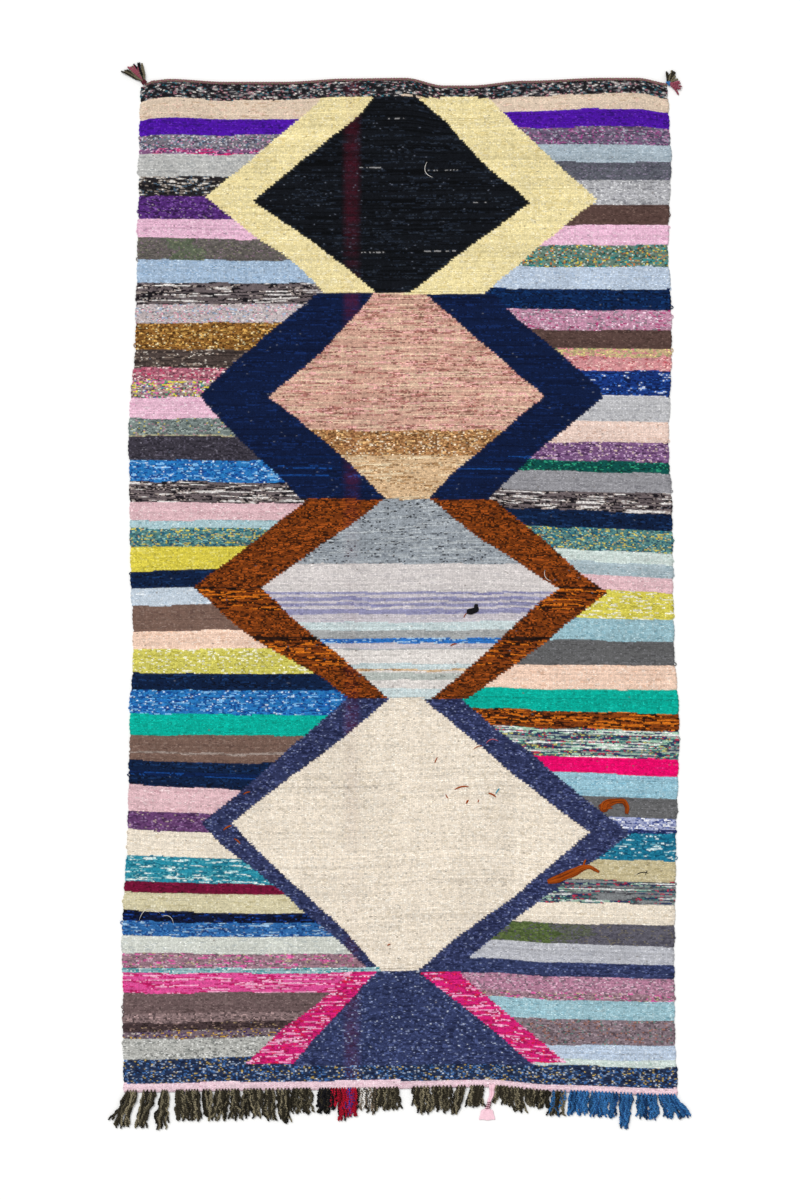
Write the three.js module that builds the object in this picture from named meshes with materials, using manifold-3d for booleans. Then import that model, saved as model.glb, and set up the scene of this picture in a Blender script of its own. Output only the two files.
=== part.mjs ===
// Boucherouite rug, laid flat on the floor: one flat-woven cloth with a plaited top end,
// a tassel at each top corner, a knotted fringe along the lower end and a few loose rag ends.
// Millimetres. +X runs across the rug, +Y up its length to the plaited end, +Z up, floor at z = 0.
import * as THREE from 'three';
import { mergeVertices } from 'three/addons/utils/BufferGeometryUtils.js';
import Module from 'manifold-3d';

const wasm = await Module();
wasm.setup();

// Cloth
const CLOTH_LENGTH = 2772;
const CLOTH_THICKNESS = 5;
const BAND_HEIGHT = 52; // mean height of one weft band
const BAND_CROWN = 1.2; // how far the middle of a band stands above its seams
const BAND_DRIFT = 6; // how far the seams stray from an even spacing
const SCALLOP = 2.5; // how far a band bulges or draws in at the selvedge
const CLOTH_COLUMNS = 26;
const DIAMOND_HALF = 150; // within this of the centre line the diamonds interrupt the bands
const BANDS_FULL_FROM = 420; // beyond this the bands have their whole crown

// Fit between neighbouring pieces
const GAP = 0.3;

// Plait along the top end
const PLAIT_WIDTH = 7;
const PLAIT_HEIGHT = 6;
const PLAIT_STEP = 16; // half a turn of the braid
const PLAIT_SWELL = 0.14; // how far each turn swells, as a share of the section
const PLAIT_INSET = { left: 16, right: 4 }; // where its ends stop short of the corners

// Fringe
const STRIP_DEPTH = 6;
const STRIP_HEIGHT = 4.4;
const STRIP_STEP = 30;
const LOCK_ROOT = 3; // how far a lock runs into its strip
const LOCK_FILL = { root: 0.72, middle: 0.8, tip: 0.6 }; // share of its lane that a lock takes
const LOCK_HEIGHT = { root: 4, middle: 5, tip: 2.6 };
const LOCK_SHORTEST = 0.84; // the shortest lock of a clump, as a share of the longest

// Where the selvedges run, from the centre line, at distances down from the top end
const SELVEDGES = [
  { down: 0, left: -715, right: 734 },
  { down: 230, left: -719, right: 744 },
  { down: 430, left: -722, right: 735 },
  { down: 680, left: -728, right: 746 },
  { down: 970, left: -746, right: 737 },
  { down: 1260, left: -743, right: 748 },
  { down: 1550, left: -735, right: 752 },
  { down: 1750, left: -744, right: 765 },
  { down: 2080, left: -750, right: 757 },
  { down: 2330, left: -765, right: 752 },
  { down: 2580, left: -763, right: 754 },
  { down: 2772, left: -762, right: 760 },
];

// How far each end rises above or falls below a straight line, across the rug
const TOP_END = [
  { across: -716, rise: -12 },
  { across: -680, rise: -1 },
  { across: -635, rise: 3 },
  { across: -480, rise: -5 },
  { across: -320, rise: -5 },
  { across: -150, rise: 4 },
  { across: 12, rise: 6 },
  { across: 120, rise: -15 },
  { across: 190, rise: -15 },
  { across: 340, rise: -2 },
  { across: 560, rise: 6 },
  { across: 650, rise: 6 },
  { across: 735, rise: -8 },
];
const LOWER_END = [
  { across: -765, rise: -3 },
  { across: -210, rise: 3 },
  { across: 245, rise: 11 },
  { across: 420, rise: -3 },
  { across: 765, rise: -14 },
];

// Fringe clumps: root and tip centres across the rug, how wide the clump is at each,
// how far it reaches past the cloth, and how many locks it holds
const FRINGES = [
  {
    node: 'fringe_brown_left',
    colour: '#3a362c',
    clumps: [
      { root: -738, rootSpan: 30, tip: -766, tipSpan: 38, reach: 100, locks: 4 },
      { root: -690, rootSpan: 41, tip: -712, tipSpan: 20, reach: 99, locks: 4 },
      { root: -648, rootSpan: 18, tip: -657, tipSpan: 28, reach: 104, locks: 3 },
      { root: -606, rootSpan: 22, tip: -601, tipSpan: 36, reach: 80, locks: 4 },
      { root: -573, rootSpan: 38, tip: -565, tipSpan: 30, reach: 82, locks: 5 },
      { root: -533, rootSpan: 24, tip: -530, tipSpan: 22, reach: 70, locks: 3 },
      { root: -476, rootSpan: 68, tip: -474, tipSpan: 78, reach: 82, locks: 8 },
      { root: -407, rootSpan: 52, tip: -402, tipSpan: 54, reach: 76, locks: 6 },
      { root: -360, rootSpan: 28, tip: -360, tipSpan: 24, reach: 84, locks: 3 },
      { root: -322, rootSpan: 40, tip: -320, tipSpan: 28, reach: 92, locks: 4 },
      { root: -289, rootSpan: 18, tip: -289, tipSpan: 16, reach: 64, locks: 2 },
      { root: -262, rootSpan: 32, tip: -262, tipSpan: 32, reach: 68, locks: 4 },
    ],
  },
  {
    node: 'fringe_mixed',
    colour: '#6b1f2c',
    clumps: [
      { root: -210, rootSpan: 30, tip: -210, tipSpan: 24, reach: 66, locks: 4 },
      { root: -183, rootSpan: 22, tip: -184, tipSpan: 22, reach: 54, locks: 3 },
      { root: -160, rootSpan: 20, tip: -161, tipSpan: 20, reach: 86, locks: 3 },
      { root: -134, rootSpan: 26, tip: -135, tipSpan: 26, reach: 74, locks: 4 },
      { root: -106, rootSpan: 26, tip: -105, tipSpan: 26, reach: 58, locks: 3 },
      { root: -79, rootSpan: 24, tip: -78, tipSpan: 24, reach: 70, locks: 3 },
    ],
  },
  {
    node: 'fringe_brown_middle',
    colour: '#3a362c',
    clumps: [
      { root: -33, rootSpan: 56, tip: -34, tipSpan: 60, reach: 60, locks: 6 },
      { root: 56, rootSpan: 48, tip: 62, tipSpan: 46, reach: 72, locks: 5 },
      { root: 98, rootSpan: 24, tip: 98, tipSpan: 22, reach: 66, locks: 3 },
      { root: 128, rootSpan: 30, tip: 123, tipSpan: 22, reach: 72, locks: 3 },
      { root: 168, rootSpan: 25, tip: 149, tipSpan: 22, reach: 74, locks: 3 },
      { root: 210, rootSpan: 38, tip: 205, tipSpan: 44, reach: 54, locks: 5 },
    ],
  },
  {
    node: 'fringe_brown_right',
    colour: '#3a362c',
    clumps: [
      { root: 280, rootSpan: 36, tip: 281, tipSpan: 36, reach: 46, locks: 4 },
      { root: 320, rootSpan: 38, tip: 320, tipSpan: 36, reach: 62, locks: 4 },
      { root: 375, rootSpan: 66, tip: 375, tipSpan: 64, reach: 46, locks: 7 },
      { root: 436, rootSpan: 42, tip: 432, tipSpan: 40, reach: 66, locks: 4 },
    ],
  },
  {
    node: 'fringe_blue',
    colour: '#2d5f94',
    clumps: [
      { root: 491, rootSpan: 54, tip: 484, tipSpan: 50, reach: 64, locks: 6 },
      { root: 560, rootSpan: 76, tip: 557, tipSpan: 76, reach: 66, locks: 8 },
      { root: 620, rootSpan: 38, tip: 617, tipSpan: 24, reach: 94, locks: 4 },
      { root: 676, rootSpan: 56, tip: 682, tipSpan: 58, reach: 66, locks: 6 },
      { root: 732, rootSpan: 48, tip: 760, tipSpan: 60, reach: 62, locks: 6 },
    ],
  },
];

// Corner tassels: a knot beside the corner and locks that fan out of it, angles from +X
const TASSEL_HEAD = { length: 15, width: 11, height: 8 };
const TASSEL_LOCK_WIDTH = 7;
const TASSELS = [
  {
    node: 'tassel_left',
    side: 'left',
    offset: { x: 1, y: 9 },
    turn: 130,
    locks: [
      { angle: 152, length: 74 },
      { angle: 126, length: 68 },
      { angle: 104, length: 62 },
    ],
  },
  {
    node: 'tassel_right',
    side: 'right',
    offset: { x: 9, y: -1 },
    turn: 40,
    locks: [
      { angle: 82, length: 36 },
      { angle: 55, length: 42 },
      { angle: 8, length: 40 },
      { angle: -20, length: 42 },
    ],
  },
];

// Pink rag tail, by stations down from the lower end
const RAG_TAIL = [
  { down: 0, across: 252, width: 15, height: 3.5 },
  { down: 18, across: 252, width: 13, height: 3.5 },
  { down: 42, across: 244, width: 9, height: 5 },
  { down: 58, across: 240, width: 11, height: 5 },
  { down: 66, across: 238, width: 34, height: 3 },
  { down: 90, across: 238, width: 44, height: 2.5 },
];

// Loose rag ends on the face: stations across and down from the top end's middle
const RAG_ENDS = [
  {
    node: 'rag_end_hook',
    colour: '#9a4a12',
    stations: [
      { across: 548, down: 1978, width: 10, height: 2.5 },
      { across: 560, down: 1992, width: 14, height: 3.5 },
      { across: 566, down: 1976, width: 12, height: 4 },
      { across: 592, down: 1968, width: 10, height: 4 },
      { across: 614, down: 1966, width: 12, height: 4 },
      { across: 623, down: 1984, width: 10, height: 3.5 },
      { across: 621, down: 2002, width: 7, height: 2.5 },
    ],
  },
  {
    node: 'rag_end_bar',
    colour: '#9a4a12',
    stations: [
      { across: 404, down: 2194, width: 9, height: 2.5 },
      { across: 432, down: 2186, width: 17, height: 3.5 },
      { across: 470, down: 2170, width: 15, height: 4 },
      { across: 500, down: 2154, width: 12, height: 4 },
      { across: 520, down: 2150, width: 9, height: 3.5 },
      { across: 546, down: 2164, width: 6, height: 2.5 },
    ],
  },
  {
    node: 'dark_tuft',
    colour: '#17171b',
    stations: [
      { across: 182, down: 1459, width: 9, height: 3 },
      { across: 196, down: 1460, width: 15, height: 4.5 },
      { across: 207, down: 1453, width: 13, height: 4.5 },
      { across: 208, down: 1438, width: 6, height: 3 },
    ],
  },
];

// Smooth value of one column of a table: an eased step from each row to the next.
function tableValue(rows, key, column, at) {
  const last = rows.length - 1;
  if (at <= rows[0][key]) return rows[0][column];
  if (at >= rows[last][key]) return rows[last][column];
  const next = rows.findIndex((row) => row[key] >= at);
  const low = rows[next - 1];
  const high = rows[next];
  const share = THREE.MathUtils.smoothstep(at, low[key], high[key]);
  return THREE.MathUtils.lerp(low[column], high[column], share);
}

// Repeatable stand-in for chance, between 0 and 1.
function chance(index) {
  const wave = Math.sin(index * 12.9898) * 43758.5453;
  return wave - Math.floor(wave);
}

// Height above the middle of the rug of a point that lies so far down and across the cloth.
function clothY(across, down) {
  const share = down / CLOTH_LENGTH;
  const top = tableValue(TOP_END, 'across', 'rise', across);
  const lower = tableValue(LOWER_END, 'across', 'rise', across);
  return CLOTH_LENGTH / 2 - down + top * (1 - share) + lower * share;
}

// A closed mesh from points and triangles, with its faces turned outwards.
function closedGeometry(points, triangles) {
  const a = new THREE.Vector3();
  const b = new THREE.Vector3();
  const c = new THREE.Vector3();
  let volume = 0;
  for (const [i, j, k] of triangles) {
    a.copy(points[i]);
    b.copy(points[j]);
    c.copy(points[k]);
    volume += a.dot(b.cross(c));
  }
  const outward = volume > 0 ? triangles : triangles.map(([i, j, k]) => [i, k, j]);
  const geometry = new THREE.BufferGeometry().setFromPoints(points);
  geometry.setIndex(outward.flat());
  geometry.computeVertexNormals();
  return geometry;
}

// A skin carried over a run of rings with equal counts of points, closed by a flat cap at each end.
function loft(rings) {
  const count = rings[0].length;
  const triangles = [];
  for (let ring = 0; ring + 1 < rings.length; ring += 1) {
    for (let point = 0; point < count; point += 1) {
      const a = ring * count + point;
      const b = ring * count + ((point + 1) % count);
      triangles.push([a, b, b + count], [a, b + count, a + count]);
    }
  }
  const end = (rings.length - 1) * count;
  for (let point = 1; point + 1 < count; point += 1) {
    triangles.push([0, point + 1, point], [end, end + point, end + point + 1]);
  }
  return closedGeometry(rings.flat(), triangles);
}

// Four-sided ring across a path that lies on a level: flat below, narrower on top.
function strandRing(centre, direction, width, height, level) {
  const side = new THREE.Vector2(-direction.y, direction.x).normalize();
  const corner = (share, z) =>
    new THREE.Vector3(centre.x + side.x * share * width, centre.y + side.y * share * width, z);
  return [
    corner(-0.5, level),
    corner(0.5, level),
    corner(0.32, level + height),
    corner(-0.32, level + height),
  ];
}

// Four-sided strand along stations { x, y, width, height } that rests on a level.
function strand(stations, level) {
  const rings = stations.map((station, index) => {
    const before = stations[Math.max(index - 1, 0)];
    const after = stations[Math.min(index + 1, stations.length - 1)];
    const direction = new THREE.Vector2(after.x - before.x, after.y - before.y);
    return strandRing(station, direction, station.width, station.height, level);
  });
  return loft(rings);
}

function toSolid(geometry) {
  const bare = geometry.clone();
  bare.deleteAttribute('normal');
  const merged = mergeVertices(bare);
  return new wasm.Manifold(
    new wasm.Mesh({
      numProp: 3,
      vertProperties: new Float32Array(merged.attributes.position.array),
      triVerts: new Uint32Array(merged.index.array),
    }),
  );
}

// Several overlapping closed meshes fused into one.
function fuse(geometries) {
  const solid = geometries.map(toSolid).reduce((whole, piece) => whole.add(piece));
  const mesh = solid.getMesh();
  const geometry = new THREE.BufferGeometry();
  geometry.setAttribute('position', new THREE.BufferAttribute(mesh.vertProperties, mesh.numProp));
  geometry.setIndex(new THREE.BufferAttribute(mesh.triVerts, 1));
  geometry.computeVertexNormals();
  return geometry;
}

function yarnMesh(name, geometry, colour) {
  const material = new THREE.MeshStandardMaterial({ color: colour, roughness: 0.95, metalness: 0 });
  const mesh = new THREE.Mesh(geometry, material);
  mesh.name = name;
  return mesh;
}

// Rows of the cloth run in pairs, one on a seam and one on a band's crest.
const HALF_BANDS = Math.round(CLOTH_LENGTH / BAND_HEIGHT) * 2;

function rowDown(row) {
  if (row === 0 || row === HALF_BANDS) return (row / HALF_BANDS) * CLOTH_LENGTH;
  return (row / HALF_BANDS) * CLOTH_LENGTH + BAND_DRIFT * Math.sin(row * 1.7);
}

// A point of the cloth's face: bands crown on even rows at the left and on odd rows at the right.
function facePoint(row, column) {
  const down = rowDown(row);
  const parity = row % 2 === 0 ? 1 : -1;
  const left = tableValue(SELVEDGES, 'down', 'left', down) - SCALLOP * parity;
  const right = tableValue(SELVEDGES, 'down', 'right', down) - SCALLOP * parity;
  const across = THREE.MathUtils.lerp(left, right, column / CLOTH_COLUMNS);
  const share = THREE.MathUtils.smoothstep(Math.abs(across), DIAMOND_HALF, BANDS_FULL_FROM);
  const crown = 0.5 - 0.5 * parity * Math.sign(across) * share;
  return new THREE.Vector3(across, clothY(across, down), CLOTH_THICKNESS + BAND_CROWN * crown);
}

// The cloth: a crowned face, a flat underside with the same outline, and a straight edge between.
function clothGeometry() {
  const points = [];
  const triangles = [];
  const wide = CLOTH_COLUMNS + 1;
  for (let row = 0; row <= HALF_BANDS; row += 1) {
    for (let column = 0; column <= CLOTH_COLUMNS; column += 1) {
      points.push(facePoint(row, column));
    }
  }
  for (let row = 0; row < HALF_BANDS; row += 1) {
    for (let column = 0; column < CLOTH_COLUMNS; column += 1) {
      const corner = row * wide + column;
      triangles.push([corner, corner + wide, corner + wide + 1], [corner, corner + wide + 1, corner + 1]);
    }
  }
  const rim = [];
  for (let row = 0; row < HALF_BANDS; row += 1) rim.push(row * wide);
  for (let column = 0; column < CLOTH_COLUMNS; column += 1) rim.push(HALF_BANDS * wide + column);
  for (let row = HALF_BANDS; row > 0; row -= 1) rim.push(row * wide + CLOTH_COLUMNS);
  for (let column = CLOTH_COLUMNS; column > 0; column -= 1) rim.push(column);
  const under = points.length;
  rim.forEach((index) => points.push(points[index].clone().setZ(0)));
  rim.forEach((index, place) => {
    const next = (place + 1) % rim.length;
    triangles.push([index, under + place, under + next], [index, under + next, rim[next]]);
  });
  const outline = rim.map((index) => new THREE.Vector2(points[index].x, points[index].y));
  for (const [a, b, c] of THREE.ShapeUtils.triangulateShape(outline, [])) {
    triangles.push([under + a, under + c, under + b]);
  }
  return closedGeometry(points, triangles);
}

// One end of the cloth as it is built, with straight stretches between the columns of its row.
function endEdge(row, across) {
  const columns = Array.from({ length: CLOTH_COLUMNS + 1 }, (_, column) => facePoint(row, column));
  const next = Math.max(1, columns.findIndex((point) => point.x >= across));
  const low = columns[next - 1];
  const high = columns[next];
  const slope = (high.y - low.y) / (high.x - low.x);
  return { y: low.y + slope * (across - low.x), slope };
}

// The plait: a flat-bottomed braid whose turns swell and shrink along the top end.
function plaitGeometry() {
  const start = facePoint(0, 0).x + PLAIT_INSET.left;
  const end = facePoint(0, CLOTH_COLUMNS).x - PLAIT_INSET.right;
  const steps = Math.round((end - start) / PLAIT_STEP);
  const rings = [];
  for (let step = 0; step <= steps; step += 1) {
    const across = THREE.MathUtils.lerp(start, end, step / steps);
    const edge = endEdge(0, across);
    const swell = 1 + PLAIT_SWELL * (step % 2 === 0 ? 1 : -1);
    const near = edge.y + (GAP + PLAIT_WIDTH * PLAIT_SWELL * 0.5) * Math.hypot(1, edge.slope);
    const far = near + PLAIT_WIDTH * swell;
    const point = (share, z) => new THREE.Vector3(across, THREE.MathUtils.lerp(near, far, share), z);
    rings.push([
      point(0.1, 0),
      point(0.85, 0),
      point(1, PLAIT_HEIGHT * 0.45 * swell),
      point(0.55, PLAIT_HEIGHT * swell),
      point(0, PLAIT_HEIGHT * 0.5),
    ]);
  }
  return loft(rings);
}

// One fringe: a narrow strip along the cloth's lower end with the locks of its clumps fused in.
function fringeGeometry(clumps) {
  const first = clumps[0];
  const last = clumps[clumps.length - 1];
  const start = first.root - first.rootSpan / 2;
  const end = last.root + last.rootSpan / 2;
  const steps = Math.ceil((end - start) / STRIP_STEP);
  const stripTop = (across) => endEdge(HALF_BANDS, across).y - GAP;
  const rings = [];
  for (let step = 0; step <= steps; step += 1) {
    const across = THREE.MathUtils.lerp(start, end, step / steps);
    const y = stripTop(across);
    rings.push([
      new THREE.Vector3(across, y - STRIP_DEPTH, 0),
      new THREE.Vector3(across, y, 0),
      new THREE.Vector3(across, y - 1, STRIP_HEIGHT),
      new THREE.Vector3(across, y - STRIP_DEPTH + 1, STRIP_HEIGHT),
    ]);
  }
  const pieces = [loft(rings)];
  for (const clump of clumps) {
    for (let lock = 0; lock < clump.locks; lock += 1) {
      pieces.push(lockGeometry(clump, lock, stripTop));
    }
  }
  return fuse(pieces);
}

// One lock of a clump, in its own lane from the strip to the clump's tip.
function lockGeometry(clump, lock, stripTop) {
  const lane = (lock + 0.5) / clump.locks - 0.5;
  const root = clump.root + lane * clump.rootSpan;
  const tip = clump.tip + lane * clump.tipSpan;
  const rootY = stripTop(root) - STRIP_DEPTH + LOCK_ROOT;
  const share = THREE.MathUtils.lerp(LOCK_SHORTEST, 1, chance(clump.root + lock * 7));
  const tipY = stripTop(root) - clump.reach * share;
  const rootLane = clump.rootSpan / clump.locks;
  const tipLane = clump.tipSpan / clump.locks;
  const station = (along, fill, height) => ({
    x: THREE.MathUtils.lerp(root, tip, along * along * (2 - along)),
    y: THREE.MathUtils.lerp(rootY, tipY, along),
    width: THREE.MathUtils.lerp(rootLane, tipLane, along) * fill,
    height,
  });
  return strand(
    [
      station(0, LOCK_FILL.root, LOCK_HEIGHT.root),
      station(0.4, LOCK_FILL.middle, LOCK_HEIGHT.middle),
      station(0.75, LOCK_FILL.middle, LOCK_HEIGHT.middle),
      station(1, LOCK_FILL.tip, LOCK_HEIGHT.tip),
    ],
    0,
  );
}

// A corner tassel: a round-shouldered knot with its locks fused in.
function tasselGeometry(tassel) {
  const corner = facePoint(0, tassel.side === 'left' ? 0 : CLOTH_COLUMNS);
  const centre = new THREE.Vector2(corner.x + tassel.offset.x, corner.y + tassel.offset.y);
  const reach = (angle, distance) => {
    const turned = THREE.MathUtils.degToRad(angle);
    return { x: centre.x + distance * Math.cos(turned), y: centre.y + distance * Math.sin(turned) };
  };
  const head = [-0.5, -0.2, 0.2, 0.5].map((along) => ({
    ...reach(tassel.turn, along * TASSEL_HEAD.length),
    width: TASSEL_HEAD.width * (1 - 1.4 * along * along),
    height: TASSEL_HEAD.height * (1 - 0.8 * along * along),
  }));
  const locks = tassel.locks.map(({ angle, length }) =>
    strand(
      [
        { ...reach(angle, 0), width: TASSEL_LOCK_WIDTH * 0.6, height: 5 },
        { ...reach(angle, length * 0.45), width: TASSEL_LOCK_WIDTH, height: 6 },
        { ...reach(angle + 2, length * 0.8), width: TASSEL_LOCK_WIDTH * 1.1, height: 5 },
        { ...reach(angle + 5, length), width: TASSEL_LOCK_WIDTH * 0.5, height: 3 },
      ],
      0,
    ),
  );
  return fuse([strand(head, 0), ...locks]);
}

// The pink rag tail: a strip pulled narrow in its middle that flares to a cut end.
function ragTailGeometry() {
  const stations = RAG_TAIL.map(({ down, across, width, height }) => ({
    x: across,
    y: endEdge(HALF_BANDS, RAG_TAIL[0].across).y - GAP - down,
    width,
    height,
  }));
  return strand(stations, 0);
}

// A loose rag end that lies on the bands' crests.
function ragEndGeometry(stations) {
  const placed = stations.map(({ across, down, width, height }) => ({
    x: across,
    y: clothY(across, down),
    width,
    height,
  }));
  return strand(placed, CLOTH_THICKNESS + BAND_CROWN + GAP);
}

const rug = new THREE.Group();
rug.add(yarnMesh('rug_cloth', clothGeometry(), '#8a7a86'));
rug.add(yarnMesh('end_plait', plaitGeometry(), '#5a2a33'));
for (const tassel of TASSELS) rug.add(yarnMesh(tassel.node, tasselGeometry(tassel), '#5b4a40'));
for (const fringe of FRINGES) rug.add(yarnMesh(fringe.node, fringeGeometry(fringe.clumps), fringe.colour));
rug.add(yarnMesh('rag_tail', ragTailGeometry(), '#eac3cf'));
for (const end of RAG_ENDS) rug.add(yarnMesh(end.node, ragEndGeometry(end.stations), end.colour));

// The frame's origin is the middle of the whole rug's footprint, on the floor.
const box = new THREE.Box3().setFromObject(rug);
const middle = box.getCenter(new THREE.Vector3());
rug.position.set(-middle.x, -middle.y, 0);

export default rug;
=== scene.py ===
"""Boucherouite rug: a flat rag weave with stacked diamonds between striped sides, a plaited top
end, corner tassels, a knotted fringe and loose rag ends, dressed over its packed solids.

Table sizes are millimetres. "across" runs from the rug's centre line and "down" from its top end.
"""

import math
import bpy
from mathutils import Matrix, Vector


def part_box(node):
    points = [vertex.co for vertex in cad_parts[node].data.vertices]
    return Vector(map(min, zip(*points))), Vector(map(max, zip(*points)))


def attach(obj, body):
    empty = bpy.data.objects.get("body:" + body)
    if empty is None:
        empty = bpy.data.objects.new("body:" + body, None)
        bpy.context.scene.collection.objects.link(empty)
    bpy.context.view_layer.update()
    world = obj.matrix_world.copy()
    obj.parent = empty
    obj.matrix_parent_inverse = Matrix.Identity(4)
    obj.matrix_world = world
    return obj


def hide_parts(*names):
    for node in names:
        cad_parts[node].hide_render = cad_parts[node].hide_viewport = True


bl_info = {
    "name": "Boucherouite rug",
    "version": (1, 0, 0),
    "blender": (4, 5, 0),
    "location": "3D View > Sidebar > Rug",
    "description": "Weaves a flat rag rug with its plait, tassels, fringe and loose rag ends",
    "category": "Object",
}

import bpy
import numpy as np
from bpy.props import FloatProperty, FloatVectorProperty, IntProperty, PointerProperty

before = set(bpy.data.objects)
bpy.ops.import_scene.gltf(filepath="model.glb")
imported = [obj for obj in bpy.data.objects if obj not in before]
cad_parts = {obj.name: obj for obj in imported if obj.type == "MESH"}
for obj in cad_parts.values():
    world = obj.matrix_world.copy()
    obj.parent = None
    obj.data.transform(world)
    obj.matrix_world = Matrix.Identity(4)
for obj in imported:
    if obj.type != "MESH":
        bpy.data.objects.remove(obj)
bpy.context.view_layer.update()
CLOTH_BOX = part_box("rug_cloth")
MM = 0.001


def table(columns, *rows):
    """Named columns of numbers from rows written by hand."""
    return dict(zip(columns.split(), np.array(rows, dtype=float).T))


# Cloth outline
CLOTH_LENGTH = 2772.0
SELVEDGES = table(
    "down left right",
    (0, -715, 734),
    (230, -719, 744),
    (430, -722, 735),
    (680, -728, 746),
    (970, -746, 737),
    (1260, -743, 748),
    (1550, -735, 752),
    (1750, -744, 765),
    (2080, -750, 757),
    (2330, -765, 752),
    (2580, -763, 754),
    (2772, -762, 760),
)
TOP_END = table(
    "across rise",
    (-716, -12),
    (-680, -1),
    (-635, 3),
    (-480, -5),
    (-320, -5),
    (-150, 4),
    (12, 6),
    (120, -15),
    (190, -15),
    (340, -2),
    (560, 6),
    (650, 6),
    (735, -8),
)
TOP_FADE = 260.0  # down to where the wave of the top end has died out
LOWER_END = table("across rise", (-765, -3), (-210, 3), (245, 11), (420, -3), (765, -14))

# How far a pick falls towards the middle of the rug, in mm for each 100 mm, on each side
PICK_FALL = table(
    "down left right",
    (130, 0, 0),
    (400, 2, 0.5),
    (680, 0, 0),
    (950, 0.5, 0),
    (1120, 3, -2),
    (1210, 1.5, -3),
    (1340, -2, -4),
    (1500, -1, -1),
    (1640, 1.5, 2),
    (1780, 2, -1),
    (1940, 5.5, -1.5),
    (2330, 2.5, 0.5),
    (2600, -1, 2),
)
FALL_FROM = {"left": -648.0, "right": 659.0}  # across places where the picks start to fall
FALL_REACH = 250.0  # how far in from there they go on falling

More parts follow.
